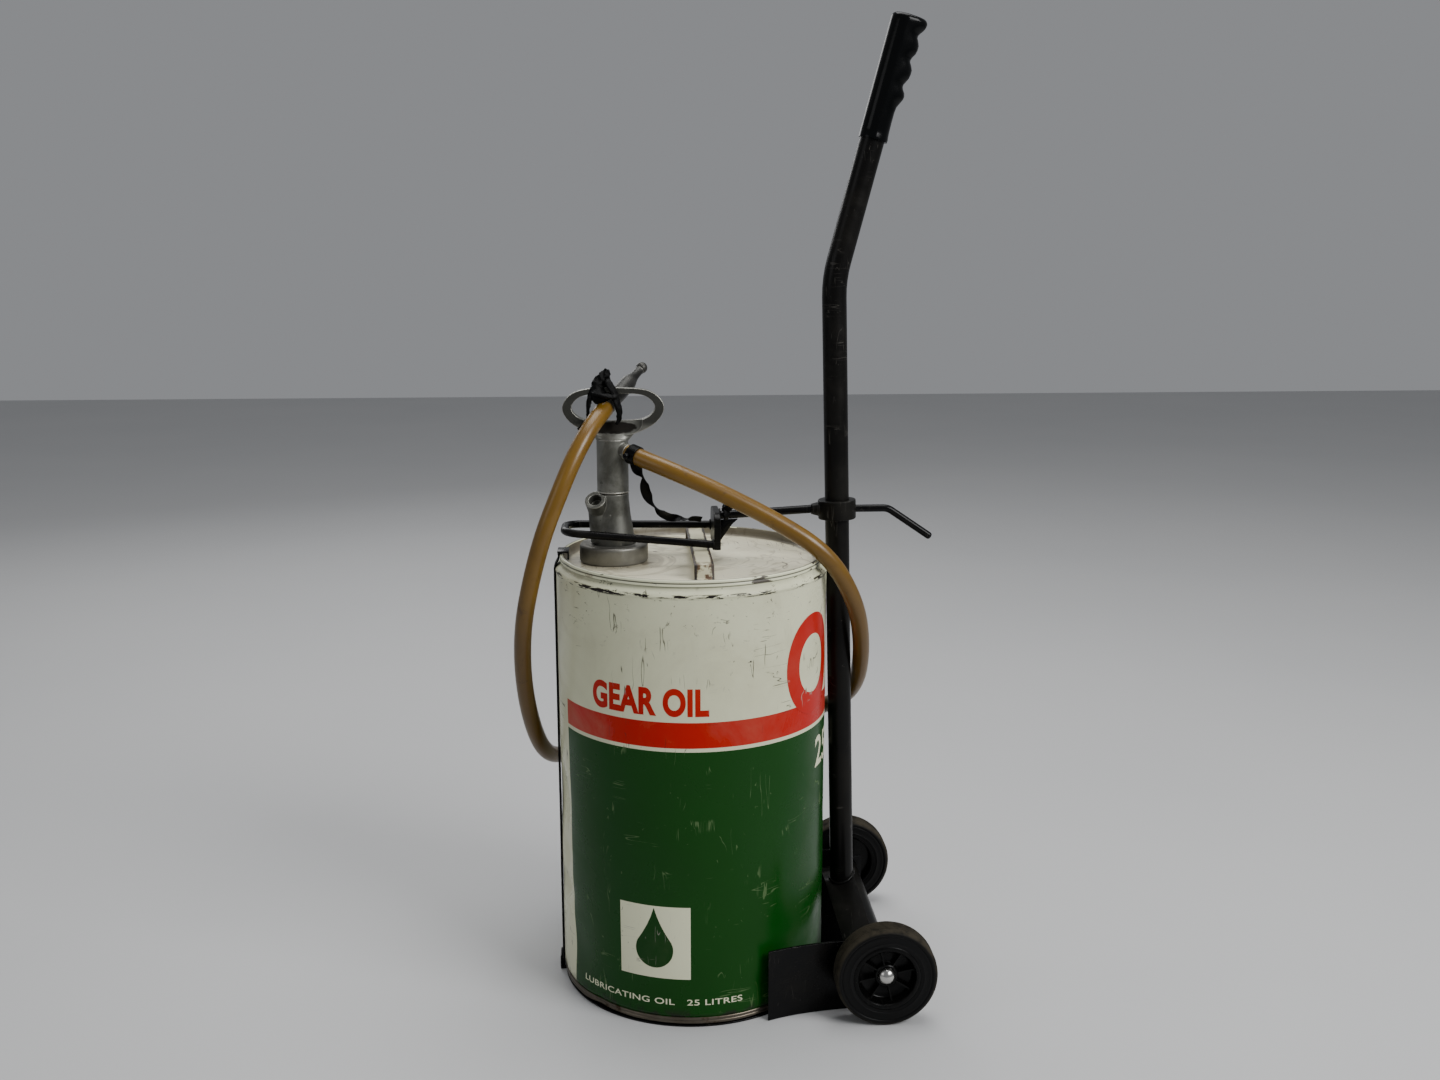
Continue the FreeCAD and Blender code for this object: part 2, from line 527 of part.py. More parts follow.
# ---------------------------------------------------------------- wheels
def wheels():
    """Two rubber-tyred wheels on plastic hubs, their washers, spacers and push-on caps."""
    washers = []
    spacers = []
    for name, sign in (("right", -1), ("left", 1)):
        out = V(0, sign, 0)
        inner_y = WHEEL_OUT_Y - TYRE_W
        start = V(AXLE_X, sign * inner_y, WHEEL_R)
        flank = [(WHEEL_R, 8.5), (WHEEL_R - 0.7, 4.5), (WHEEL_R - 2.5, 1.5), (WHEEL_R - 5.5, 0),
                 (WHEEL_R - 6.5, 1.2), (HUB_R, 1.6)]
        outline = [(r, TYRE_W - z) for r, z in flank] + list(reversed(flank))
        tyre = turned(outline, start, out)
        write(f"{name}_tyre", tyre)
        rim = HUB_R - 0.05
        hub = turned([(AXLE_R + RUN, 0), (12, 0), (12, 10), (rim - 4, 11), (rim - 4, 3),
                      (rim, 3), (rim, TYRE_W - 1.8), (rim - 4, TYRE_W - 1.0),
                      (rim - 6, TYRE_W - 3), (rim - 7.5, TYRE_W - 13), (12, TYRE_W - 14.5),
                      (12, TYRE_W - 6.5), (AXLE_R + RUN, TYRE_W - 6.5)], start, out)
        for i in range(8):
            angle = math.radians(45 * i + 12)
            rib = box(V(11, -0.9, TYRE_W - 15.5), V(rim - 6.2, 0.9, TYRE_W - 7.0))
            rib.Placement = FreeCAD.Placement(start, FreeCAD.Rotation(UP, out)).multiply(
                FreeCAD.Placement(V(0, 0, 0), FreeCAD.Rotation(UP, math.degrees(angle))))
            hub = hub.fuse(rib)
        write(f"{name}_hub", hub.removeSplitter())
        cap_base = V(AXLE_X, sign * (WHEEL_OUT_Y - 6.1), WHEEL_R)
        cap = turned([(AXLE_R + 0.03, 0.2), (9.4, 0.2), (9.4, 2.0), (8.2, 4.2), (5.5, 6.0),
                      (2.5, 6.9), (0, 7.1), (0, 5.6), (4.0, 5.0), (AXLE_R + 0.03, 3.2)],
                     cap_base, out)
        write(f"{name}_axle_cap", cap)
        cheek_face = CHEEK_Y + CHEEK_T / 2
        spacer = tube(9.5, AXLE_R + 0.05, V(AXLE_X, sign * cheek_face, WHEEL_R), out,
                      inner_y - cheek_face - 2.2)
        spacers.append(spacer.cut(cheek(sign, grow=0.05)))
        washers.append(tube(11.5, AXLE_R + 0.05, V(AXLE_X, sign * (inner_y - 2.1), WHEEL_R),
                            out, 1.8))
    write("axle_spacers", Part.makeCompound(spacers))
    write("axle_washers", Part.makeCompound(washers))


# ---------------------------------------------------------------- clamp
def clamp():
    """Collar that slides on the mast, its arm, plate and the loop round the pump."""
    centre = V(mast_x(CLAMP_Z), 0, CLAMP_Z)
    collar = tube(COLLAR_R, TUBE_R + RUN, centre - MAST_AXIS * (COLLAR_H / 2), MAST_AXIS,
                  COLLAR_H)
    screw_hole = cylinder(4.0 + RUN, centre + V(5, 0, 0), V(1, 0, 0), 30)
    socket_end = COLLAR_R + 8
    socket = Part.makeCone(9.0, 5.4, socket_end - TUBE_R - 2, centre - V(TUBE_R + 2, 0, 0),
                           V(-1, 0, 0))
    collar = collar.fuse(socket).cut(screw_hole)
    collar = collar.cut(cylinder(TUBE_R + RUN, centre - MAST_AXIS * 30, MAST_AXIS, 60))
    write("clamp_collar", collar.removeSplitter())

    arm_start = centre + V(-socket_end - FIT, 0, 0)
    arm_end = V(PLATE_X + PLATE_T + 0.3, 0, 509.5)
    arm = cylinder(CLAMP_ROD_R + 0.3, arm_start, arm_end - arm_start,
                   (arm_end - arm_start).Length)
    write("clamp_arm", arm)

    plate = box(V(PLATE_X, -33, 478.5), V(PLATE_X + PLATE_T, 33, 516))
    corners = [edge for edge in plate.Edges
               if edge.CenterOfMass.z > 515.9 and edge.BoundBox.YLength < 0.1]
    write("clamp_plate", plate.makeFillet(14.0, corners))

    gusset = [V(PLATE_X + PLATE_T + 0.02, -2.5, 480), V(PLATE_X + PLATE_T + 0.02, -2.5, 504.5),
              V(PLATE_X + PLATE_T + 20, -2.5, 505.4), V(PLATE_X + PLATE_T + 14, -2.5, 500)]
    shape = Part.Face(Part.makePolygon(gusset + gusset[:1])).extrude(V(0, 5, 0))
    write("clamp_gusset", shape)

    back = PLATE_X - 0.02
    loop_points = [V(back, LOOP_HALF_W, 494), V(LOOP_FRONT_X, LOOP_HALF_W, 496.5),
                   V(LOOP_FRONT_X, -LOOP_HALF_W, 498.5), V(back, -LOOP_HALF_W, 484)]
    loop, _, _ = swept_rod(loop_points, CLAMP_ROD_R, [17.0, 17.0])
    room = box(V(PLATE_X, -60, 400), V(PLATE_X + 60, 60, 600))
    write("clamp_loop", loop.cut(room))

    tip = centre + V(TUBE_R + 0.4, 0, 0)
    bend = V(209, 0, CLAMP_Z)
    lever, _, _ = swept_rod([tip, bend, V(256, 0, 483)], 4.0, [16.0])
    far_rim = [edge for edge in lever.Edges if edge.CenterOfMass.x > 255]
    write("lock_lever", lever.makeFillet(2.5, far_rim))


def main():
    os.makedirs("parts", exist_ok=True)
    drum()
    pump_fixed()
    start, direction = plunger()
    nozzle(hose(start, direction))
    ties()
    trolley()
    wheels()
    clamp()


main()
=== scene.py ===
"""Looks of the oil drum trolley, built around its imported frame.

Metres in the frame's own axes; helpers take millimetres where the CAD source does.
The origin is on the floor, on the drum's axis.  +X points to the mast, and the camera
looks along +Y.
"""
import math

import bmesh
import bpy
from mathutils import Matrix, Vector, noise


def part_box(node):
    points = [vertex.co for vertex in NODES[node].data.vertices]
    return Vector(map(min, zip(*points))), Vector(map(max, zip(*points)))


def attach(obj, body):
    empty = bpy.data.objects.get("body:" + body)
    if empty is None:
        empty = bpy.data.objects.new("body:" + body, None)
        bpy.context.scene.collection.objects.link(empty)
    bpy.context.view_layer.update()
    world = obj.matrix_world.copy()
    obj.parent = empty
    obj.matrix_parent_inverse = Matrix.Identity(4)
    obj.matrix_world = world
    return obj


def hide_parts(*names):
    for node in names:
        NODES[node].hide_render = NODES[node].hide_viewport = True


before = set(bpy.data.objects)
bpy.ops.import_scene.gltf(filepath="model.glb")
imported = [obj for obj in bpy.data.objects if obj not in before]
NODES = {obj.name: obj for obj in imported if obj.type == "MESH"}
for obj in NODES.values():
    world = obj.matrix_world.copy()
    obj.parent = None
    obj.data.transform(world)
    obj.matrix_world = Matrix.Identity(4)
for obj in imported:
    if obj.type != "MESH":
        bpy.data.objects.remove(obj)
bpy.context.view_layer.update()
MM = 0.001
ON_AXIS = 1e-6

# ---- sizes, in millimetres
DRUM_R = 143.0
DRUM_LOW, DRUM_HIGH = (corner.z / MM for corner in (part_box("drum_shell")[0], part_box("drum_top_head")[1]))
CHIME_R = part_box("drum_top_head")[1].x / MM
FOOT_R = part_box("drum_bottom_head")[1].x / MM
SHOULDER_Z = 457.0
HEAD_Z = 462.0
SEAM_TOP = 472.0
STRAP_X = 8.0
PUMP_X = -82.0
WHEEL_R = 53.0
AXLE_X = 192.0
YOKE_TOP_Z = 96.6
HOSE_R = 9.0


# ---- mesh helpers
def mm(*values):
    return Vector(values) * MM


def shown(name, data):
    """A new object in the scene."""
    obj = bpy.data.objects.new(name, data)
    bpy.context.scene.collection.objects.link(obj)
    return obj


def piece(name, mesh, material, body, angle=40.0, node=None):
    """Show a mesh on a body, smooth but for edges sharper than an angle in degrees.  It
    stands for a CAD node, which it hides."""
    obj = shown(name, mesh)
    mesh.materials.clear()
    mesh.materials.append(material)
    bm = bmesh.new()
    bm.from_mesh(mesh)
    for face in bm.faces:
        face.smooth = True
    for edge in bm.edges:
        edge.smooth = len(edge.link_faces) == 2 and edge.calc_face_angle(0.0) < math.radians(angle)
    bm.to_mesh(mesh)
    bm.free()
    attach(obj, body)
    if node:
        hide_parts(node)
    return obj


def frame_at(origin, axis):
    """Matrix whose Z lies along an axis, with its origin at a point in millimetres."""
    turn = Vector((0, 0, 1)).rotation_difference(Vector(axis).normalized())
    return Matrix.Translation(Vector(origin) * MM) @ turn.to_matrix().to_4x4()


def skin(rings, again=False, ends=()):
    """Mesh of faces between rings of points in metres; a ring may be one point.  again
    joins the last ring to the first, and ends says which rings are filled in."""
    count = max(len(ring) for ring in rings)
    vertices = []
    numbers = []
    for ring in rings:
        numbers.append([len(vertices) + k % len(ring) for k in range(count)])
        vertices += ring
    faces = [numbers[i] for i in ends]
    for low, high in zip(numbers, numbers[1:] + (numbers[:1] if again else [])):
        for i in range(count):
            j = (i + 1) % count
            face = [low[i], low[j], high[j], high[i]]
            face = [v for k, v in enumerate(face) if v != face[k - 1]]
            if len(face) > 2:
                faces.append(face)
    mesh = bpy.data.meshes.new("mesh")
    mesh.from_pydata([tuple(v) for v in vertices], [], faces)
    mesh.validate()
    bm = bmesh.new()
    bm.from_mesh(mesh)
    bmesh.ops.recalc_face_normals(bm, faces=bm.faces)
    bm.to_mesh(mesh)
    bm.free()
    return mesh


def lathe(outline, segments=96, origin=(0, 0, 0), axis=(0, 0, 1), warp=lambda point: point):
    """Closed mesh turned from an outline of (radius, height) in millimetres.  warp moves
    a point given in the axis's own frame."""
    place = frame_at(origin, axis)
    rings = []
    for radius, height in outline:
        turns = [2 * math.pi * i / segments for i in range(segments if radius > ON_AXIS else 1)]
        ring = [Vector((radius * math.cos(t), radius * math.sin(t), height)) for t in turns]
        rings.append([place @ (warp(v) * MM) for v in ring])
    return skin(rings, again=max(outline[0][0], outline[-1][0]) > ON_AXIS)


def arc(centre, radius, start, end, steps=6):
    """Points (radius, height) on an arc, angles in degrees."""
    result = []
    for i in range(steps + 1):
        angle = math.radians(start + (end - start) * i / steps)
        result.append((centre[0] + radius * math.cos(angle), centre[1] + radius * math.sin(angle)))
    return result


def smooth_path(points, steps=8):
    """Catmull-Rom curve through points."""
    points = [Vector(p) for p in points]
    last = len(points) - 1
    result = []
    for i in range(last):
        a, b, c, d = (points[min(max(i + k, 0), last)] for k in (-1, 0, 1, 2))
        for k in range(steps):
            t = k / steps
            result.append(0.5 * ((2 * b) + (c - a) * t + (2 * a - 5 * b + 4 * c - d) * t * t
                                 + (3 * b - a - 3 * c + d) * t ** 3))
    return result + [points[-1]]


def sweep(path, section, up=None):
    """Closed mesh along a path in millimetres.  section(s, i) gives a ring of (side, up)
    pairs at the share s of the path."""
    path = [Vector(p) for p in path]
    last = len(path) - 1
    tangents = [(path[min(i + 1, last)] - path[max(i - 1, 0)]).normalized() for i in range(last + 1)]
    side = tangents[0].cross(up or Vector((0, 0, 1)))
    if side.length < 1e-4:
        side = tangents[0].cross(Vector((1, 0, 0)))
    side.normalize()
    rings = []
    for i, point in enumerate(path):
        if i:
            side = tangents[i - 1].rotation_difference(tangents[i]) @ side
        if up:
            side = tangents[i].cross(up).normalized()
        height = side.cross(tangents[i])
        rings.append([(point + side * a + height * b) * MM for a, b in section(i / last, i)])
    return skin(rings, ends=(0, -1))


def circle(radius, count=24):
    return [(radius * math.cos(2 * math.pi * i / count), radius * math.sin(2 * math.pi * i / count))
            for i in range(count)]


def join_meshes(meshes):
    """One mesh of several separate closed ones."""
    bm = bmesh.new()
    for mesh in meshes:
        bm.from_mesh(mesh)
    result = bpy.data.meshes.new("joined")
    bm.to_mesh(result)
    bm.free()
    return result


def modified(obj, *modifiers):
    """The object's mesh with its modifiers applied, each a kind and its settings; the
    object itself is removed."""
    for kind, settings in modifiers:
        modifier = obj.modifiers.new(kind, kind)
        for key, value in settings.items():
            setattr(modifier, key, value)
    bpy.context.view_layer.update()
    graph = bpy.context.evaluated_depsgraph_get()
    mesh = bpy.data.meshes.new_from_object(obj.evaluated_get(graph))
    bpy.data.objects.remove(obj)
    return mesh


def bevelled(node, width, segments=3, angle=30.0):
    """A CAD node's mesh with its edges rounded by a bevel of that width in millimetres."""
    return modified(shown("scratch", copy_of(node)),
                    ("BEVEL", {"width": width * MM, "segments": segments, "limit_method": "ANGLE",
                               "angle_limit": math.radians(angle), "use_clamp_overlap": True}))


def copy_of(node):
    """The mesh of a CAD node, with coplanar faces merged."""
    bm = bmesh.new()
    bm.from_mesh(NODES[node].data)
    bmesh.ops.remove_doubles(bm, verts=bm.verts, dist=0.002 * MM)
    bmesh.ops.dissolve_limit(bm, angle_limit=math.radians(1.0), verts=bm.verts, edges=bm.edges)
    mesh = bpy.data.meshes.new(node)
    bm.to_mesh(mesh)
    bm.free()
    return mesh


def cast(node, voxel, rounds):
    """A CAD node's mesh as a casting or moulding has it: remeshed, with rounded edges."""
    return modified(shown("scratch", copy_of(node)),
                    ("REMESH", {"mode": "VOXEL", "voxel_size": voxel * MM}),
                    ("SMOOTH", {"iterations": rounds, "factor": 0.5}))


# ---- material helpers
class Paint:
    """A Principled material with a few shorthands for its nodes.  base is its colour so
    far, which cover() adds a layer to."""

    def __init__(self, name, **sockets):
        self.material = bpy.data.materials.new(name)
        self.material.use_nodes = True
        self.nodes = self.material.node_tree.nodes
        self.links = self.material.node_tree.links
        self.shader = self.nodes["Principled BSDF"]
        for socket, value in sockets.items():
            self.shader.inputs[socket.replace("_", " ")].default_value = value
        self.place = self.nodes.new("ShaderNodeTexCoord").outputs["Object"]
        self.x, self.y, self.z = self.add("SeparateXYZ", Vector=self.place).node.outputs
        self.base = None

    def feed(self, node, values):
        """Link or set sockets by name, or by number as in i0."""
        for socket, value in values.items():
            target = node.inputs[int(socket[1:]) if socket[1:].isdigit() else socket.replace("_", " ")]
            if isinstance(value, bpy.types.NodeSocket):
                self.links.new(value, target)
            else:
                target.default_value = value

    def add(self, kind, output=0, settings=None, **values):
        """Add a node and give one of its outputs."""
        node = self.nodes.new("ShaderNode" + kind)
        for key, value in (settings or {}).items():
            setattr(node, key, value)
        self.feed(node, values)
        return node.outputs[output]

    def math(self, operation, a, b=0.0):
        return self.add("Math", settings={"operation": operation}, i0=a, i1=b)

    def plus(self, a, b):
        return self.math("ADD", a, b)

    def less(self, a, b):
        return self.math("SUBTRACT", a, b)

    def times(self, a, b):
        return self.math("MULTIPLY", a, b)

    def most(self, a, b):
        return self.math("MAXIMUM", a, b)

    def apart(self, a, b):
        """How far two numbers are apart."""
        return self.math("ABSOLUTE", self.less(a, b))

    def length(self, a, b):
        return self.math("SQRT", self.plus(self.times(a, a), self.times(b, b)))

    def noise(self, scale, detail=4.0, roughness=0.55, distortion=0.0, stretch=None, turn=None,
              shift=(0, 0, 0)):
        vector = self.place
        if stretch or turn or shift != (0, 0, 0):
            vector = self.add("Mapping", Vector=self.place, Scale=stretch or (1, 1, 1),
                              Rotation=turn or (0, 0, 0), Location=shift)
        return self.add("TexNoise", Vector=vector, Scale=scale, Detail=detail, Roughness=roughness,
                        Distortion=distortion)

    def ramp(self, value, low, high):
        """0 below low, 1 above high, smooth between.  low above high turns it round."""
        return self.add("MapRange", settings={"interpolation_type": "SMOOTHSTEP"}, Value=value,
                        From_Min=low, From_Max=high)

    def step(self, value, at, half):
        """A sharp ramp round a value, falling where half is negative."""
        return self.ramp(value, at - half, at + half)

    def mix(self, share, a, b):
        return self.add("Mix", 2, {"data_type": "RGBA"}, i0=share, i6=a, i7=b)

    def cover(self, mask, colour, share=1.0):
        """Lay a share of a colour over the base where the mask is 1."""
        self.base = self.mix(mask if share == 1.0 else self.times(mask, share), self.base, colour)

    def between(self, share, a, b):
        """A number that goes from a to b with share."""
        return self.plus(self.times(share, b - a), a)

    def bump(self, height, distance, strength=1.0, **under):
        return self.add("Bump", Height=height, Distance=distance, Strength=strength, **under)

    def finish(self, **sockets):
        self.feed(self.shader, {"Base Color": self.base, **sockets})
        return self.material


def rgb(red, green, blue):
    return (red, green, blue, 1.0)


# ---- materials
CREAM = rgb(0.70, 0.71, 0.50)
CREAM_DIRT = rgb(0.34, 0.31, 0.20)
RED_INK = rgb(0.42, 0.004, 0.0)
GREEN_INK = rgb(0.0004, 0.037, 0.0003)
CHIP = rgb(0.014, 0.011, 0.009)
RUST = rgb(0.10, 0.045, 0.018)
# Heights in metres of the print's edges, and how soft they are
BAND_HIGH = 0.3291
BAND_LOW = 0.3024
GREEN_TOP = 0.2985
INK_EDGE = 0.0002
MARGIN_HALF = math.radians(23.5)


def wear(paint, scale=1.0):
    """Masks that several paints share: grime, chips and fine scratches."""
    grime = paint.ramp(paint.noise(9 * scale, 6, 0.65, 0.4), 0.42, 0.75)
    chips = paint.ramp(paint.noise(150 * scale, 3, 0.6, 0.6), 0.69, 0.71)
    chips_where = paint.ramp(paint.noise(17 * scale, 3, 0.6), 0.50, 0.62)
    scratch = 0.0
    for turn, stretch, shift in (((0.5, 0.3, 0.4), (90, 12, 9), (1, 2, 3)),
                                 ((-0.6, 0.9, 0.1), (80, 8, 14), (5, 1, 2)),
                                 ((0.2, -0.4, 1.2), (9, 12, 100), (3, 3, 1))):
        streak = paint.noise(1.0 * scale, 2, 0.5, 0.4, stretch, turn, shift)
        line = paint.ramp(paint.apart(streak, 0.5), 0.0085, 0.004)
        where = paint.ramp(paint.noise(21 * scale, 2, 0.6, 0.0, shift=shift), 0.60, 0.65)
        scratch = paint.most(scratch, paint.times(line, where))
    return grime, paint.times(chips, chips_where), scratch


def drum_paint():
    """Printed body: cream above, a red band, a fine cream line and dark green below,
    with a full-height cream margin at the side seam."""
    paint = Paint("drum_paint", Roughness=0.3, Specular_IOR_Level=0.18)
    z = paint.z
    angle = paint.math("ABSOLUTE", paint.math("ARCTAN2", paint.y, paint.times(paint.x, -1.0)))
    lean = paint.times(paint.less(z, 0.24), -0.16)
    panel = paint.step(paint.less(angle, lean), MARGIN_HALF, 0.002)
    red = paint.times(paint.step(z, BAND_LOW, INK_EDGE), paint.step(z, BAND_HIGH, -INK_EDGE))
    in_green = paint.times(paint.step(z, GREEN_TOP, -INK_EDGE), panel)
    above = paint.less(1.0, in_green)
    paint.base = paint.mix(paint.noise(5, 4, 0.6), CREAM, rgb(0.58, 0.585, 0.41))
    paint.cover(paint.times(red, panel), RED_INK)
    paint.cover(in_green, paint.mix(paint.noise(7, 4, 0.6), GREEN_INK, rgb(0.001, 0.052, 0.001)))

    grime, chips, scratch = wear(paint)
    paint.cover(paint.times(grime, above), CREAM_DIRT, 0.3)
    streaks = paint.ramp(paint.noise(1.0, 4, 0.6, 0.5, (34, 34, 11)), 0.54, 0.70)
    paint.cover(paint.times(streaks, paint.ramp(z, 0.33, 0.455)), CREAM_DIRT, 0.28)
    paint.cover(paint.times(scratch, above), CHIP, 0.8)
    paint.cover(paint.times(chips, above), CHIP)
    marks = paint.most(scratch, chips)
    paint.cover(paint.times(marks, in_green), rgb(0.17, 0.25, 0.11), 0.38)

    bead = paint.times(paint.ramp(z, 0.4530, 0.4545), paint.ramp(z, 0.4588, 0.4575))
    worn = paint.ramp(paint.noise(1.0, 5, 0.7, 0.2, (42, 42, 260)), 0.505, 0.535)
    paint.cover(paint.times(bead, worn), CHIP)
    scuffs = paint.ramp(paint.noise(1.0, 5, 0.72, 0.9, (75, 75, 120), None, (7, 2, 4)), 0.615, 0.645)
    paint.cover(paint.times(scuffs, paint.ramp(z, 0.385, 0.450)), CHIP, 0.8)
    foot = paint.times(paint.ramp(z, 0.024, 0.011), paint.ramp(paint.noise(60, 4), 0.46, 0.6))
    paint.cover(foot, CHIP, 0.8)

    ripple = paint.bump(paint.noise(22, 2, 0.5), 0.0006, 0.25)
    return paint.finish(Roughness=paint.between(grime, 0.26, 0.5),
                        Normal=paint.bump(marks, -0.0002, 0.5, Normal=ripple))


def head_paint():
    """Cream lid: dull, with water marks, grime and rust spots, painted shade in the corner
    under its seam, and dirt round the pump."""
    paint = Paint("head_paint", Roughness=0.4)
    paint.base = paint.mix(paint.noise(14, 5, 0.6, 0.8), rgb(0.80, 0.78, 0.60), rgb(0.64, 0.58, 0.41))
    tide = paint.ramp(paint.apart(paint.noise(6, 3, 0.5, 2.2), 0.52), 0.02, 0.004)
    paint.cover(tide, rgb(0.16, 0.12, 0.07), 0.35)
    grime, chips, scratch = wear(paint)
    paint.cover(grime, rgb(0.17, 0.14, 0.08), 0.42)
    paint.cover(paint.most(chips, paint.times(scratch, 0.7)), rgb(0.06, 0.035, 0.02))
    # The first ring is painted shade in the corner under the seam; the second is dirt round the pump.
    for middle, start, end, share in ((0.0, CHIME_R - 8.0, CHIME_R - 3.0, 0.85),
                                      (PUMP_X, 61.0, 43.0, 0.5)):
        reach = paint.length(paint.less(paint.x, middle * MM), paint.y)
        ragged = paint.plus(reach, paint.times(paint.noise(30, 5, 0.65), 0.006))
        paint.cover(paint.ramp(ragged, start * MM, end * MM), rgb(0.07, 0.055, 0.035), share)
    return paint.finish(Roughness=paint.between(grime, 0.3, 0.62),
                        Normal=paint.bump(paint.noise(34, 3, 0.5, 1.0), 0.0005, 0.35))


def seam_metal():
    """Rolled seam: cream paint, worn through in places, with dark lines in its groove, under it and along
    its top that are painted shade and dirt.
    """
    paint = Paint("seam_metal", Roughness=0.4)
    worn = paint.ramp(paint.noise(1.0, 5, 0.65, 0.4, (38, 38, 120)), 0.58, 0.64)
    paint.base = paint.mix(worn, CREAM, rgb(0.07, 0.06, 0.045))
    # Dark lines of painted shade and dirt: in the groove between the ridges, under the seam and along its
    # top.
    for level, half in ((SEAM_TOP - 3.6, 1.0), (SEAM_TOP - 7.4, 1.0), (SEAM_TOP + 0.1, 0.5)):
        line = paint.ramp(paint.apart(paint.z, level * MM), half * MM, 0.45 * half * MM)
        paint.cover(line, rgb(0.045, 0.04, 0.03), 0.85)
    paint.cover(paint.ramp(paint.noise(38, 5, 0.7), 0.62, 0.72), RUST, 0.6)
    return paint.finish(Roughness=paint.between(worn, 0.36, 0.5),
                        Normal=paint.bump(paint.noise(120, 3), 0.0002, 0.4))


def strap_metal():
    """Lid handle: cream, with dark brown lines along both edges, part rust and part painted shade of its
    sides, and stained feet.
    """
    paint = Paint("strap_metal", Roughness=0.45)
    ragged = paint.plus(paint.apart(paint.x, STRAP_X * MM), paint.times(paint.noise(70, 5, 0.7), 0.0045))
    paint.base = paint.mix(paint.noise(30, 5, 0.6), CREAM, rgb(0.40, 0.34, 0.22))
    foot = paint.ramp(paint.math("ABSOLUTE", paint.y), 0.072, 0.100)
    patch = paint.ramp(paint.plus(paint.noise(75, 4, 0.65), paint.times(foot, 0.14)), 0.50, 0.62)
    paint.cover(paint.times(foot, patch), rgb(0.09, 0.045, 0.018))
    # The edge lines are partly rust and partly painted shade where the handle's sides turn from the light.
    line = paint.mix(paint.ramp(paint.noise(48, 4, 0.6), 0.42, 0.6), rgb(0.045, 0.028, 0.014), CHIP)
    paint.cover(paint.ramp(ragged, 0.0088, 0.0102), line)
    return paint.finish(Normal=paint.bump(paint.noise(90, 3), 0.0003, 0.4))


def foot_metal():
    """Bottom seam: bare, dark and rusty."""
    paint = Paint("foot_metal", Roughness=0.4, Metallic=0.85)
    paint.base = paint.mix(paint.noise(60, 5, 0.7), rgb(0.17, 0.15, 0.12), rgb(0.06, 0.045, 0.03))
    rust = paint.ramp(paint.noise(28, 5, 0.7), 0.56, 0.68)
    paint.cover(rust, rgb(0.05, 0.028, 0.014))
    return paint.finish(Roughness=paint.between(rust, 0.35, 0.8),
                        Normal=paint.bump(paint.noise(140, 3), 0.0002, 0.4))


def hose_rubber():
    """Aged amber tube, darker in patches, with painted shade lower down, and a slight gloss."""
    paint = Paint("hose_amber", Roughness=0.34, Subsurface_Weight=0.08, Subsurface_Scale=0.003,
                  Subsurface_Radius=(1.0, 0.45, 0.12), Specular_IOR_Level=0.4, Coat_Weight=0.12,
                  Coat_Roughness=0.35)
    paint.base = paint.mix(paint.noise(16, 5, 0.65, 0.5), rgb(0.205, 0.110, 0.010),
                           rgb(0.095, 0.044, 0.004))
    stain = paint.ramp(paint.noise(40, 5, 0.7, 0.6), 0.58, 0.72)
    paint.cover(stain, rgb(0.05, 0.022, 0.006), 0.6)
    # Painted shade: the tube darkens lower down, where it hangs in the drum's shade.
    paint.cover(paint.ramp(paint.z, 0.54, 0.34), rgb(0.045, 0.024, 0.004), 0.55)
    return paint.finish(Roughness=paint.between(stain, 0.32, 0.5),
                        Normal=paint.bump(paint.noise(70, 3), 0.0003, 0.25))


# ---- camera, light, floor
def camera():
    """A phone at about eye height for the pump, 1.5 m from the drum."""
    data = bpy.data.cameras.new("camera")
    data.sensor_width = 36.0
    data.lens = 35.82
    looks_down = 0.206
    looks_right = 0.06795
    obj = shown("camera", data)
    obj.location = mm(-70.7, -1483.1, 793.3)
    obj.rotation_euler = (math.pi / 2 - looks_down, 0, -looks_right)
    bpy.context.scene.camera = obj


def area_light(name, location, target_z, size, power):
    """A soft light aimed at a height on the drum's axis."""
    data = bpy.data.lights.new(name, "AREA")
    data.shape = "RECTANGLE"
    data.size, data.size_y = size
    data.energy = power
    obj = shown(name, data)
    obj.location = location
    aim = Vector((0, 0, target_z)) - Vector(location)
    obj.rotation_euler = aim.to_track_quat("-Z", "Y").to_euler()


def studio():
    """Pale floor, pale surroundings and large soft lights, brighter from the right."""
    world = bpy.data.worlds.new("studio")
    bpy.context.scene.world = world
    world.use_nodes = True
    colour, strength = world.node_tree.nodes["Background"].inputs[:2]
    colour.default_value = rgb(0.86, 0.88, 0.92)
    strength.default_value = 0.30
    area_light("key", (2.0, -1.7, 2.1), 0.4, (1.5, 1.2), 82)
    area_light("fill", (-2.2, -1.4, 1.5), 0.4, (1.2, 1.2), 6)
    area_light("top", (0.2, 0.3, 2.6), 0.4, (1.8, 1.4), 42)
    area_light("rim", (-0.9, 2.2, 1.7), 0.5, (1.4, 1.0), 14)

    paint = Paint("floor", Roughness=0.6)
    paint.base = paint.mix(paint.noise(1.5, 3), rgb(0.52, 0.52, 0.52), rgb(0.47, 0.475, 0.48))
    half = 6.0
    mesh = bpy.data.meshes.new("floor")
    mesh.from_pydata([(-half, -half, 0), (half, -half, 0), (half, half, 0), (-half, half, 0)], [],
                     [[0, 1, 2, 3]])
    mesh.materials.append(paint.finish())
    shown("floor", mesh)


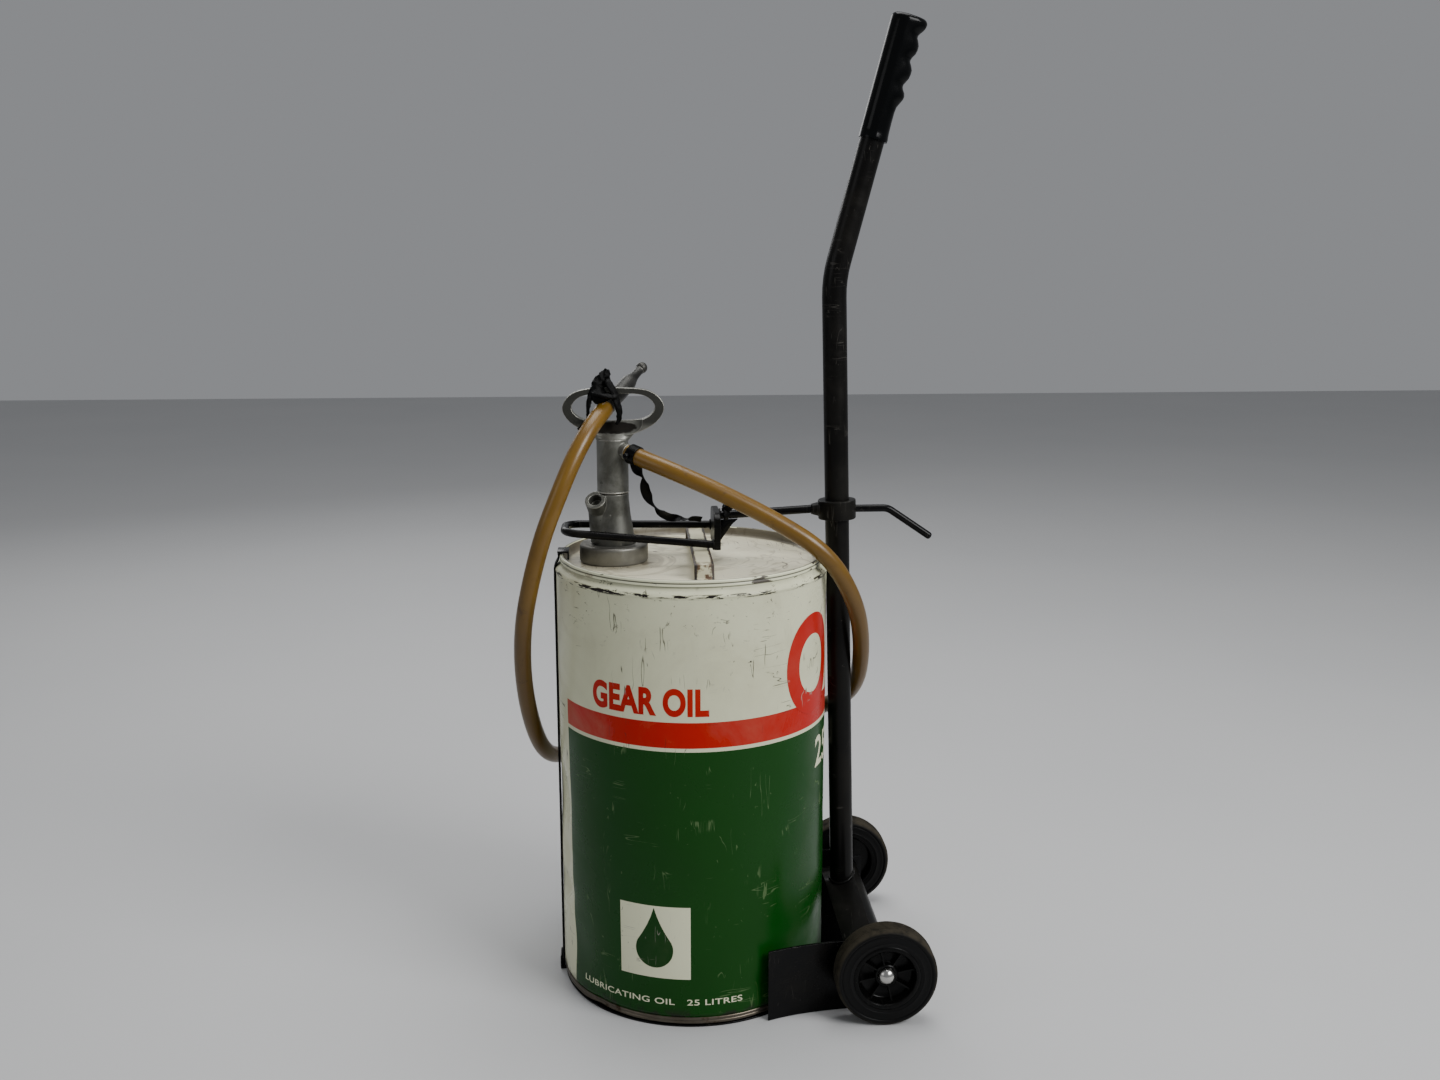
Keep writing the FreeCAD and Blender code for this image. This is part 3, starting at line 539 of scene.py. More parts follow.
# ---- hose
OUTLET_DIR = Vector((0.75, -0.61, -0.25)).normalized()
OUTLET_FACE = Vector((PUMP_X, 0, 584.5)) + OUTLET_DIR * 21.0
HOSE_START = OUTLET_FACE + OUTLET_DIR * 4.0
NOZZLE_DIR = Vector((0.471, 0.764, 0.441)).normalized()
NOZZLE_START = Vector((-88, -5, 624.5))
HOSE_ROUTE = [HOSE_START, HOSE_START + OUTLET_DIR * 22, (-16, -45, 562), (27, -52, 543),
              (82, -57, 515), (137, -64, 480), (170, -46, 424), (183, -13, 364),
              (183, 26, 308), (160, 74, 272), (113, 126, 245), (48, 161, 226),
              (-28, 165, 215), (-98, 137, 210), (-144, 84, 215), (-162, 32, 238),
              (-173, -6, 285), (-179, -31, 343), (-177, -49, 402), (-166, -61, 456),
              (-152, -66, 505), (-136, -63, 544), (-123, -54, 574), (-110, -40, 598),
              NOZZLE_START - NOZZLE_DIR * 22, NOZZLE_START]


def hose(material):
    curve = bpy.data.curves.new("hose_tube", "CURVE")
    curve.dimensions = "3D"
    spline = curve.splines.new("NURBS")
    spline.points.add(len(HOSE_ROUTE) - 1)
    for point, place in zip(spline.points, HOSE_ROUTE):
        point.co = (*mm(*place), 1.0)
    spline.order_u = 3
    spline.use_endpoint_u = True
    spline.resolution_u = 12
    curve.bevel_depth = HOSE_R * MM
    curve.bevel_resolution = 8
    curve.use_fill_caps = True
    curve.materials.append(material)
    obj = shown("hose_tube", curve)
    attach(obj, "plunger")
    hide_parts("hose")
    return obj


# ---- drum
# Dents: angle in degrees, height, depth, half-width round the drum and half-height
DENTS = [(-168, 205, 7.5, 18, 30), (-163, 150, 3.5, 12, 16), (-166, 112, 6.5, 18, 13),
         (-150, 60, 2.2, 26, 30), (-40, 120, 1.6, 34, 44), (-62, 34, 2.0, 24, 18),
         (-105, 396, 1.0, 46, 34), (-20, 70, 2.4, 20, 26), (100, 240, 2.0, 60, 40),
         (60, 90, 3.0, 28, 34), (140, 370, 1.5, 40, 40)]
# Dents of the rims alone
FOOT_DENTS = [(-137, 2.6, 13), (-128, 1.2, 16), (-60, 1.0, 20), (-14, 1.8, 14), (70, 1.5, 20)]
CHIME_DENTS = [(35, 1.6, 12), (-160, 0.7, 10), (-70, 0.5, 18), (120, 1.2, 16)]


def bump_shape(value):
    return math.exp(-value * value)


def wrapped(degrees):
    return (degrees + 180.0) % 360.0 - 180.0


def rim_dents(table, angle):
    """How far a rim is pushed in at an angle in degrees."""
    return sum(depth * bump_shape(math.radians(wrapped(angle - at)) * DRUM_R / across)
               for at, depth, across in table)


def drum_dent(angle, z):
    """How far the body is pushed in at an angle in degrees and a height."""
    inward = 0.0
    for at, height, depth, across, tall in DENTS:
        round_way = math.radians(wrapped(angle - at)) * DRUM_R / across
        up_way = (z - height) / tall
        inward += depth * bump_shape(math.hypot(round_way, up_way))
    direction = math.radians(angle)
    probe = Vector((math.cos(direction) * 1.6, math.sin(direction) * 1.6, z / 95.0))
    inward += 0.55 * noise.noise(probe) + 0.18 * noise.noise(probe * 4.1)
    foot = bump_shape((z - DRUM_LOW) / 16.0)
    rim = bump_shape((z - DRUM_HIGH) / 9.0)
    inward += foot * rim_dents(FOOT_DENTS, angle) + rim * rim_dents(CHIME_DENTS, angle)
    near_ends = min(max((z - 8.0) / 30.0, 0.0), max((466.0 - z) / 30.0, 0.0), 1.0)
    return inward * max(near_ends, foot, rim, 0.15)


def dented(point):
    """Move a point of the drum's skin inwards by the dent at its place."""
    radius = math.hypot(point.x, point.y)
    if radius < 100.0:
        return point
    angle = math.degrees(math.atan2(point.y, point.x))
    share = 1.0 - drum_dent(angle, point.z) / radius
    return Vector((point.x * share, point.y * share, point.z))


def body_radius(z):
    """Outer radius of the rolled body, before dents."""
    if z < 14.0:
        return FOOT_R - 1.6 + (DRUM_R - FOOT_R + 1.6) * max(z - 10.0, 0.0) / 4.0
    if z > SHOULDER_Z:
        share = min((z - SHOULDER_Z) / 7.0, 1.0)
        return DRUM_R - (DRUM_R - CHIME_R + 1.6) * (0.5 - 0.5 * math.cos(math.pi * share))
    bead = bump_shape((z - SHOULDER_Z + 1.2) / 1.4)
    return DRUM_R + 0.7 * bead


def drum_body(material):
    heights = [DRUM_LOW + 2.0, 6.0, 9.0, 10.5, 12.0, 13.0, 14.0, 16.0]
    heights += [18.0 + 4.0 * i for i in range(108)]
    heights += [451.0, 452.5, 453.5, 454.3, 455.0, 455.7, 456.4, 457.2, 458.2, 459.4, 460.8, 462.2,
                463.6, 465.0, 468.0, DRUM_HIGH - 2.0]
    outer = [(body_radius(z), z) for z in heights]
    inner = [(r - 1.0, z) for r, z in reversed(outer)]
    piece("drum_body", lathe(outer + inner, 300, warp=dented), material, "trolley", node="drum_shell")


def chime(edge_r, edge_z, sign):
    """Rolled seam: two soft ridges with a groove between them, then the drop inside."""
    return [(edge_r - inset, edge_z - sign * drop)
            for inset, drop in ((0.9, 7.4), (0.2, 7.0), (0, 6.2), (0, 4.4), (0.7, 3.7), (0.1, 3.0),
                                (0, 1.6), (0.5, 0.5), (1.6, 0), (2.8, 0.3), (3.4, 1.2))]


def lid_ripple(x, y):
    """Soft waves pressed into the lid by handling."""
    radius = math.hypot(x, y)
    fade = min(max((126.0 - radius) / 20.0, 0.0), 1.0)
    probe = Vector((x / 46.0, y / 30.0, 3.1))
    wave = 1.1 * noise.noise(probe) + 0.45 * noise.noise(probe * 2.7)
    near_neck = math.hypot(x - PUMP_X, y)
    return wave * fade * min(max((near_neck - 34.0) / 25.0, 0.0), 1.0)


def drum_heads(seam, lid, foot):
    """The lid with its rolled seam, and the bottom with its own."""
    wall = CHIME_R - 3.9
    top = chime(CHIME_R, DRUM_HIGH, 1)
    top += [(wall, HEAD_Z + 5.0), (wall - 0.6, HEAD_Z + 2.0), (wall - 2.4, HEAD_Z + 0.4),
            (wall - 6.0, HEAD_Z)]
    top += [(wall - 6.0 - 6.0 * i, HEAD_Z + 0.2 * min(i, 4)) for i in range(1, 21)]
    under = [(0.0, HEAD_Z + 0.8), (0.0, HEAD_Z - 0.6), (wall - 7.0, HEAD_Z - 1.0),
             (wall - 2.0, HEAD_Z - 0.4), (wall + 0.4, HEAD_Z + 3.0), (wall + 0.9, DRUM_HIGH - 1.6),
             (CHIME_R - 1.2, DRUM_HIGH - 1.6)]

    def warp(point):
        radius = math.hypot(point.x, point.y)
        point = dented(point)
        if radius < 127.0:
            point.z += lid_ripple(point.x, point.y)
        return point

    obj = piece("drum_lid", lathe(top + under, 300, warp=warp), seam, "trolley", 50, "drum_top_head")
    obj.data.materials.append(lid)
    for polygon in obj.data.polygons:
        if polygon.center.xy.length / MM < CHIME_R - 3.2:
            polygon.material_index = 1

    wall = FOOT_R - 3.9
    outline = chime(FOOT_R, DRUM_LOW, -1)
    outline += [(wall, DRUM_LOW + 5.0), (wall - 3.0, DRUM_LOW + 8.0), (0.0, DRUM_LOW + 8.0),
                (0.0, DRUM_LOW + 9.0), (wall - 2.4, DRUM_LOW + 9.0), (wall + 0.9, DRUM_LOW + 6.0),
                (wall + 0.9, DRUM_LOW + 1.6), (FOOT_R - 1.2, DRUM_LOW + 1.6)]
    piece("drum_foot", lathe(outline, 300, warp=dented), foot, "trolley", 50, "drum_bottom_head")


def wrap(bm, start, low, gap):
    """Lay a flat mesh of millimetres in XY on the dented body, cut every few millimetres."""
    cut = 3.0
    for axis in (Vector((1, 0, 0)), Vector((0, 1, 0))):
        limit = max(v.co @ axis for v in bm.verts)
        for i in range(1, int(limit / cut) + 1):
            bmesh.ops.bisect_plane(bm, geom=bm.verts[:] + bm.edges[:] + bm.faces[:],
                                   plane_co=axis * cut * i, plane_no=axis)
    for v in bm.verts:
        angle = start + math.degrees(v.co.x / DRUM_R)
        z = low + v.co.y
        radius = body_radius(z) - drum_dent(angle, z) + gap
        turn = math.radians(angle)
        v.co = mm(radius * math.cos(turn), radius * math.sin(turn), z)


def printed(name, bm, material, start, low, gap):
    """Wrap a flat mesh on the drum, as a printed piece of it."""
    wrap(bm, start, low, gap)
    mesh = bpy.data.meshes.new(name)
    bm.to_mesh(mesh)
    bm.free()
    piece(name, mesh, material, "trolley", 60)


def lettering(name, text, height, start, low, material, bold, span, gap=0.12):
    """Letters laid on the body: start is the angle of their left edge in degrees, low
    their base line and span the angle they fill."""
    font = bpy.data.curves.new(name, "FONT")
    font.body = text
    font.offset = bold
    font.space_character = 1.05
    bm = bmesh.new()
    bm.from_mesh(modified(shown(name, font)))
    xs = [v.co.x for v in bm.verts]
    ys = [v.co.y for v in bm.verts]
    tall = height / (max(ys) - min(ys))
    wide = math.radians(span) * DRUM_R / (max(xs) - min(xs))
    for v in bm.verts:
        v.co = Vector(((v.co.x - min(xs)) * wide, (v.co.y - min(ys)) * tall, 0.0))
    printed(name, bm, material, start, low, gap)


def ink(name, colour):
    """Printed ink, with the same scuffs as the paint under it."""
    paint = Paint(name, Roughness=0.3, Specular_IOR_Level=0.18)
    grime, chips, scratch = wear(paint)
    paint.base = paint.mix(paint.times(grime, 0.1), colour, CREAM_DIRT)
    paint.cover(scratch, rgb(0.3, 0.29, 0.24), 0.6)
    paint.cover(chips, CHIP)
    return paint.finish()


def plate_on_drum(name, outline, start, low, material, gap):
    """A flat printed shape on the body, from an outline of (x, z) in millimetres."""
    bm = bmesh.new()
    bm.faces.new([bm.verts.new((x, z, 0)) for x, z in outline])
    printed(name, bm, material, start, low, gap)


def drop_outline(centre, size):
    """A plain falling drop: a round bottom and a pointed top, with hollow sides."""
    points = arc(centre, size, -205, 25, 28)
    tip = (centre[0], centre[1] + 2.3 * size)

    def side(start, end, inwards):
        return [(start[0] + (end[0] - start[0]) * t + inwards * 0.10 * size * math.sin(math.pi * t),
                 start[1] + (end[1] - start[1]) * t) for t in (0.25, 0.5, 0.75)]

    return points + side(points[-1], tip, -1) + [tip] + side(tip, points[0], 1)


def livery():
    """Generic print: plain words and a drop sign, near the front and again behind."""
    red = ink("ink_red", RED_INK)
    white = ink("ink_white", CREAM)
    green = ink("ink_green", GREEN_INK)
    lettering("print_large", "OIL", 106.0, -51.0, 316.0, red, 0.035, 74.0, 0.2)
    lettering("print_litres", "25 L", 34.0, -29.0, 251.0, white, 0.02, 34.0)
    square = [(0, 0), (75.5, 0), (75.5, 79), (0, 79)]
    for side, turn in (("front", 0.0), ("back", 197.0)):
        lettering(f"print_words_{side}", "GEAR OIL", 29.0, -137.0 + turn, 335.0, red, 0.045, 51.0)
        plate_on_drum(f"print_square_{side}", square, -124.0 + turn, 54.0, white, 0.12)
        drop = drop_outline((37.7, 31.0), 20.0)
        plate_on_drum(f"print_drop_{side}", drop, -124.0 + turn, 54.0, green, 0.24)
        lettering(f"print_line_{side}", "LUBRICATING OIL   25 LITRES", 6.6, -146.0 + turn, 25.0, white,
                  0.01, 74.0)


def drum_handle(material):
    """Strap handle with rolled edges and turned-down ends."""
    piece("lid_handle", bevelled("drum_handle", 0.9), material, "trolley", 50, "drum_handle")


# ---- pump
def cast_metal(name, tint, dark, worn=0.5, shaded_hollow=None, shade_faces_above=None):
    """Sand-cast aluminium: grey, mottled with oil, with fine grain.  worn is how bright
    its edges are, as rubbed metal and painted highlight.  The last two arguments paint
    shade: a centre and half sizes in millimetres of a hollow that is darkened, and a
    height in metres above which faces square to Y are darkened."""
    paint = Paint(name, Metallic=0.8, Roughness=0.45, Specular_IOR_Level=0.25)
    mottled = paint.noise(26, 6, 0.65, 0.4)
    paint.base = paint.mix(paint.ramp(mottled, 0.32, 0.72), tint, dark)
    paint.cover(paint.ramp(paint.noise(130, 3, 0.6), 0.66, 0.72), rgb(0.03, 0.028, 0.025), 0.7)
    # Convex edges lighter: part rubbed bare metal, part painted highlight.
    pointiness = paint.add("NewGeometry", 7)
    paint.cover(paint.ramp(pointiness, 0.505, 0.55), rgb(0.42, 0.41, 0.37), worn)
    # Painted shade: faces square to Y above the given height are darkened.
    if shade_faces_above:
        normal = paint.add("TexCoord", 1)
        facing = paint.add("SeparateXYZ", 1, Vector=normal)
        flat = paint.times(paint.ramp(paint.math("ABSOLUTE", facing), 0.80, 0.97),
                           paint.ramp(paint.z, shade_faces_above, shade_faces_above + 0.006))
        paint.cover(flat, rgb(0.03, 0.03, 0.026), 0.85)
    # Painted shade: a dark blot in the given hollow.
    if shaded_hollow:
        away = paint.times(paint.noise(180, 4), 0.6)
        for spot, middle, reach in zip((paint.x, paint.y, paint.z), *shaded_hollow):
            share = paint.times(paint.less(spot, middle * MM), 1.0 / (reach * MM))
            away = paint.plus(away, paint.times(share, share))
        paint.cover(paint.ramp(away, 1.25, 0.95), rgb(0.018, 0.016, 0.013))
    grain = paint.bump(paint.noise(420, 3, 0.6), 0.00025, 0.35)
    return paint.finish(Roughness=paint.between(mottled, 0.30, 0.62),
                        Normal=paint.bump(paint.noise(48, 2), 0.0006, 0.3, Normal=grain))


def black_gloss(name, tint, low=0.18, high=0.42, worn=0.5):
    """Brushed-on black enamel or moulded plastic, scuffed and dusty."""
    paint = Paint(name, Roughness=0.3, Specular_IOR_Level=0.13)
    grime, chips, scratch = wear(paint, 1.4)
    paint.base = paint.mix(paint.times(grime, worn * 0.6), tint, rgb(0.018, 0.016, 0.012))
    paint.cover(paint.most(paint.times(scratch, 0.6), chips), rgb(0.075, 0.07, 0.062), worn)
    return paint.finish(Roughness=paint.between(grime, low, high),
                        Normal=paint.bump(paint.noise(55, 3), 0.0004, 0.3))


def plain(name, tint, roughness, metallic):
    """Clean metal, a little uneven."""
    paint = Paint(name, Roughness=roughness, Metallic=metallic)
    paint.base = paint.mix(paint.noise(45, 4, 0.6), tint, rgb(*(c * 0.6 for c in tint[:3])))
    return paint.finish(Normal=paint.bump(paint.noise(160, 2), 0.0002, 0.2))


def ring_nut(metal):
    low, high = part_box("ring_nut")
    bottom = low.z / MM
    top = high.z / MM
    outside = (high.x - low.x) / 2 / MM
    outline = [(30.5, bottom), (outside - 1.6, bottom), (outside - 0.6, bottom + 0.5),
               (outside, bottom + 1.6)]
    outline += arc((outside - 3.2, top - 3.2), 3.2, 0, 80, 8)
    outline += [(outside - 6.0, top), (23.4, top - 0.2), (23.1, top - 0.6), (23.1, top - 2.4),
                (30.5, top - 2.4)]

    def knocked(point):
        """The nut's edge is dented where it was struck to undo it."""
        angle = math.atan2(point.y, point.x)
        if math.hypot(point.x, point.y) < 31:
            return point
        rough = noise.noise(Vector((math.cos(angle) * 2.2, math.sin(angle) * 2.2, point.z * 0.2)))
        share = 1.0 + 0.012 * min(rough, 0.0) * (1.0 + (point.z - bottom) / 10.0)
        return Vector((point.x * share, point.y * share, point.z))

    piece("ring_nut_cast", lathe(outline, 120, (PUMP_X, 0, 0), warp=knocked), metal, "trolley", 50,
          "ring_nut")


def hose_clip(material):
    """Ribbed band round the hose's end, with the lug of its screw."""
    ribs = [(HOSE_R + 0.05, 0.0), (HOSE_R + 0.9, 0.0)]
    for i in range(5):
        ribs += arc((HOSE_R + 0.7, 1.25 + 2.2 * i), 0.85, -70, 70, 5)
    ribs += [(HOSE_R + 0.9, 11.3), (HOSE_R + 0.05, 11.3)]
    start = OUTLET_FACE + OUTLET_DIR * 3.5
    side = OUTLET_DIR.cross(Vector((0, 0, 1))).normalized()
    lug_start = start + OUTLET_DIR * 4 + side * (HOSE_R + 0.6)
    lug = lathe([(0, 0), (3.0, 0), (3.0, 4.4), (2.3, 5.2), (0, 5.4)], 24, lug_start, side)
    clip = join_meshes([lathe(ribs, 60, start, OUTLET_DIR), lug])
    piece("hose_clip_ribbed", clip, material, "plunger", 60, "hose_clip")


def pump(metal, handle_metal, ring_metal, brass, black, hidden):
    """Castings with rounded edges, the ring nut, and the outlet's fitting and clip."""
    piece("pump_casting", cast("pump_body", 0.55, 8), metal, "trolley", 60, "pump_body")
    piece("handle_casting", cast("pump_handle", 0.45, 3), handle_metal, "plunger", 60, "pump_handle")
    lip = [(15.0, 0.0), (16.6, 0.0), (17.1, 0.5), (17.1, 1.0), (16.6, 1.6), (15.0, 1.6)]
    piece("skirt_lip", lathe(lip, 72, (PUMP_X, 0, 535.9)), handle_metal, "plunger", 50)
    ring_nut(ring_metal)

    fitting = [(3.3, 0.2), (8.0, 0.2), (8.0, 3.4), (7.4, 4.0), (5.9, 4.1)]
    fitting += [(5.9 - 0.5 * (i % 2), 6.0 + 1.6 * i) for i in range(12)]
    fitting += [(4.6, 25.8), (3.3, 25.8)]
    piece("outlet_fitting", lathe(fitting, 48, OUTLET_FACE, OUTLET_DIR), brass, "plunger",
          node="hose_tail")
    hose_clip(black)

    for name in ("gland_bush", "plunger_rod", "piston", "foot_valve_seat", "pump_barrel", "strainer",
                 "foot_valve_pin", "foot_valve_ball", "discharge_ball", "filler_neck"):
        paint_node(name, hidden)
    for name in ("piston_seal", "neck_gasket"):
        paint_node(name, black)


def paint_node(name, material):
    """Give a CAD node that stays as it is a better material."""
    data = NODES[name].data
    data.materials.clear()
    data.materials.append(material)


def nozzle(metal):
    """Ferrule, plump body, thin neck and ball end with its hole."""
    outline = [(0.0, 0.1), (8.0, 0.1), (8.6, 0.8), (8.7, 2.0), (8.7, 11.0), (8.3, 12.2), (7.8, 12.8),
               (7.8, 14.0), (8.2, 14.8), (8.4, 22.0), (8.5, 30.0), (8.5, 46.0), (8.2, 50.0),
               (7.5, 53.6), (6.5, 56.6), (5.6, 60.0), (5.0, 63.6), (4.7, 68.0), (4.6, 74.6), (5.0, 75.8)]
    outline += arc((0, 80.9), 6.1, -50, 66, 14)
    outline += [(2.0, 86.5), (2.0, 62.0), (0.0, 62.0)]
    return piece("nozzle_spout", lathe(outline, 64, NOZZLE_START, NOZZLE_DIR), metal, "plunger", 50,
                 "nozzle")


# ---- cloth
def cloth_black(name, roughness):
    """Black woven stuff, with the weave as fine bump."""
    paint = Paint(name, Roughness=roughness, Specular_IOR_Level=0.1)
    weave = paint.add("TexWave", 1, {"bands_direction": "DIAGONAL"}, Vector=paint.place,
                      Scale=260.0, Distortion=0.6, Detail=2.0)
    dust = paint.ramp(paint.noise(60, 5, 0.65), 0.5, 0.75)
    paint.base = paint.mix(paint.times(dust, 0.5), rgb(0.0012, 0.0012, 0.0012),
                           rgb(0.004, 0.0036, 0.0032))
    return paint.finish(Normal=paint.bump(weave, 0.0002, 0.4))


def strip(path, width, thickness, twist, wave):
    """Flat strip along a path in millimetres.  width(s) is its width and twist(s) its
    turn in degrees at the share s; wave curls it across."""
    count = 7

    def section(s, i):
        turn = math.radians(twist(s))
        half = width(s) / 2
        top = []
        bottom = []
        for k in range(count):
            across = -half + 2 * half * k / (count - 1)
            lift = wave * (1.0 - (across / half) ** 2) * math.sin(9.0 * s + 2.0)
            edge = thickness * (0.25 if k in (0, count - 1) else 0.5)
            top.append((across, lift + edge))
            bottom.append((across, lift - edge))
        return [(a * math.cos(turn) - b * math.sin(turn), a * math.sin(turn) + b * math.cos(turn))
                for a, b in top + bottom[::-1]]

    return sweep(path, section)


def crumpled(mesh, size, depth, seed):
    """Move each vertex along its normal by ridged noise, as folds or lumps."""
    offset = Vector((seed, 2.0 * seed, -seed))
    for vertex in mesh.vertices:
        probe = vertex.co / MM / size + offset
        ridge = 1.0 - abs(noise.noise(probe)) * 2.4
        amount = depth * (ridge - 0.5) + 0.35 * depth * noise.noise(probe * 3.3)
        vertex.co += vertex.normal * amount * MM
    mesh.update()
    return mesh


def bunch(points, sizes, seed, folds=1.8):
    """Gathered cloth along a path: sizes are its half width and half depth on the way."""
    count = len(sizes) - 1

    def section(s, i):
        at = min(int(s * count), count - 1)
        share = s * count - at
        wide, deep = ((1 - share) * sizes[at][k] + share * sizes[at + 1][k] for k in (0, 1))
        return [(a * wide, b * deep) for a, b in circle(1.0, 32)]

    return crumpled(sweep(smooth_path(points, 7), section), 5.5, folds, seed)


def cloth_tie(material):
    """A scrap of black cloth bunched round the handle's top bar and the hose's end."""
    knot = bunch([(-89, -7.5, 629), (-90.5, -5, 634), (-91.5, -1, 641), (-91.5, 1.5, 648),
                  (-90, 2, 654), (-88, 2, 659), (-86.8, 1.5, 664)],
                 [(9.0, 4.0), (13.0, 5.0), (14.0, 4.8), (11.5, 5.6), (8.5, 5.0), (5.5, 3.5), (1.2, 0.8)],
                 4.0)
    collar = bunch([(-101, -6, 641), (-96, -13.5, 639.5), (-88, -16.5, 638), (-80, -13, 637),
                    (-77, -6, 638)],
                   [(3.0, 2.5), (4.2, 2.4), (4.6, 2.4), (4.2, 2.4), (3.0, 2.2)], 21.0, 0.9)
    left = bunch([(-101, -4, 643), (-104.5, -8, 634), (-106.0, -11, 625), (-107.0, -12, 614)],
                 [(4.0, 2.6), (3.4, 2.2), (2.4, 1.6), (1.0, 0.8)], 12.0, 0.8)
    right = bunch([(-87, 1, 652), (-84.5, -5.5, 650.5), (-81, -9.5, 644), (-77.5, -11.5, 634),
                   (-74.5, -11, 623), (-74.5, -9.5, 614), (-77.5, -8.6, 608)],
                  [(4.0, 3.0), (4.4, 2.4), (4.4, 2.2), (4.2, 2.2), (3.6, 2.0), (3.0, 1.8), (1.4, 1.0)],
                  17.0, 0.8)
    tail = strip(smooth_path([(-106, -11.5, 616), (-109, -12, 610), (-113, -12.5, 606.5),
                              (-117, -12, 603)], 5),
                 lambda s: 4.5 - 1.8 * s, 1.1, lambda s: 90 * s, 0.5)
    mesh = join_meshes([knot, collar, left, right, tail])
    obj = piece("tie_cloth", mesh, material, "plunger", 60, "cloth_tie")


def ribbon(material):
    """Twisted strip that hangs from the outlet to the clamp's loop."""
    path = smooth_path([(-62, -20, 571), (-59, -21, 567), (-55.5, -21, 561), (-51.5, -20.5, 555),
                        (-49.5, -19, 548), (-48.5, -17, 540), (-45.5, -13.5, 532), (-41, -9, 524),
                        (-35, -3, 516), (-29, 1, 510.5), (-21, 8, 506), (-12, 14, 504.5),
                        (-5, 18, 502.5), (4, 20, 502.5), (12, 21, 501)], 7)
    turns = (55, 90, 175, 250, 280, 355, 445, 470, 540, 630, 640)

    def twist(s):
        at = min(int(s * 10), 9)
        return turns[at] + (turns[at + 1] - turns[at]) * (s * 10 - at)

    def width(s):
        return 7.0 + 4.5 * abs(math.sin(math.radians(twist(s)))) - 2.5 * s

    mesh = strip(path, width, 0.9, twist, 1.2)
    obj = piece("ribbon_twisted", mesh, material, "plunger", 60, "ribbon")


def arm_cloth(material):
    """A bit of the same cloth knotted over the clamp's arm, behind its plate."""
    over = bunch([(36, -7.0, 505), (36.5, -7.2, 511), (37.0, -4.2, 516.4), (37.0, 0, 517.8),
                  (36.5, 4.2, 516.4), (36, 7.0, 511), (36, 6.8, 505)],
                 [(2.2, 1.0), (4.4, 1.8), (4.8, 2.0), (4.6, 2.0), (4.4, 1.8), (4.0, 1.6), (2.0, 1.0)],
                 31.0, 0.8)
    loose = strip(smooth_path([(34, -6.5, 515), (39, -8.5, 519), (45, -9, 523.5), (51, -7, 526)], 6),
                  lambda s: 8.5 - 3.0 * s, 1.0, lambda s: 60 + 50 * s, 0.6)
    obj = piece("arm_cloth", join_meshes([over, loose]), material, "clamp", 60)


def webbing_material():
    """Black polyester webbing: a herringbone of fine ribs."""
    paint = Paint("webbing_black", Roughness=0.6, Specular_IOR_Level=0.15)
    weave = paint.add("TexWave", 1, {"bands_direction": "Z", "wave_profile": "SIN"}, Vector=paint.place,
                      Scale=190.0, Distortion=0.4, Detail=1.0)
    dust = paint.ramp(paint.noise(30, 5, 0.65), 0.45, 0.75)
    paint.base = paint.mix(paint.times(dust, 0.5), rgb(0.003, 0.003, 0.003), rgb(0.015, 0.014, 0.012))
    return paint.finish(Normal=paint.bump(weave, 0.0003, 0.5))


def front_strap(webbing, black):
    """Webbing from the rim hook down the drum's front to the base plate's lip."""
    low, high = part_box("front_strap")
    x_body = -DRUM_R - 1.5
    x_rim = high.x / MM - 1.0
    path = smooth_path([(x_body, 0, low.z / MM + 0.5), (x_body, 0, 40), (x_body, 0, 110),
                        (x_body + 0.2, 0, 180), (x_body, 0, 260), (x_body, 0, 340),
                        (x_body, 0, 420), (x_body, 0, 452), (x_body + 0.6, 0, 459),
                        (x_rim, 0, 466.5), (x_rim, 0, high.z / MM - 0.3)], 10)
    width = (high.y - low.y) / MM
    half = width / 2
    across = [-half + 0.8 + (width - 1.6) * k / 8 for k in range(9)]

    def section(s, i):
        ridge = 0.12 * math.sin(i * 1.9)
        face = [(a, 0.85 + (ridge if k % 2 else -ridge)) for k, a in enumerate(across)]
        back = [(-a, -0.85) for a in across]
        return [(-half, -0.3), (-half, 0.3), *face, (half, 0.3), (half, -0.3), *back]

    mesh = sweep(path, section, Vector((1, 0, 0)))
    obj = piece("strap_webbing", mesh, webbing, "trolley", 60, "front_strap")
    piece("strap_rim_hook", bevelled("strap_hook", 0.7), black, "trolley", 50, "strap_hook")


# ---- clamp
def weld(path, size, seed):
    """Lumpy weld bead along a path in millimetres."""
    def section(s, i):
        return [(a * (1.0 + 0.16 * math.sin(2.1 * i)), b) for a, b in circle(size, 12)]

    return crumpled(sweep(path, section), 2.2, 0.22, seed)


def weld_round(x, y, z, radius, steps, size, seed):
    """Weld bead round a bar that lies along X."""
    turns = [2 * math.pi * k / steps for k in range(steps + 1)]
    return weld([(x, y + radius * math.cos(t), z + radius * math.sin(t)) for t in turns], size, seed)


def clamp(black, worn):
    """Collar, arm, plate, gusset, hairpin loop and the cranked lock lever."""
    piece("collar_casting", cast("clamp_collar", 0.5, 8), worn, "clamp", 60, "clamp_collar")
    piece("loop_plate", cast("clamp_plate", 0.6, 10), worn, "clamp", 60, "clamp_plate")
    piece("loop_gusset", bevelled("clamp_gusset", 0.5, 2), black, "clamp", 50, "clamp_gusset")
    for name in ("clamp_arm", "clamp_loop"):
        paint_node(name, black)
    near, far = (corner.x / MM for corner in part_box("clamp_plate"))
    low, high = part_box("clamp_arm")
    seams = [weld_round(far + 0.6, 0.0, (low.z + high.z) / 2 / MM - 1.8, 5.4, 24, 1.1, 2.0)]
    for y, z in ((-29.0, 484.0), (29.0, 494.0)):
        seams.append(weld_round(near - 0.5, y, z, 4.9, 20, 0.9, y))
    piece("clamp_welds", join_meshes(seams), worn, "clamp", 70)
    piece("lever_rod", cast("lock_lever", 0.5, 8), black, "lever", 60, "lock_lever")


# ---- trolley
GRIP_AXIS = Vector((0.264, 0, 1)).normalized()
GRIP_LOW = Vector((183.9, 0, 893.0))


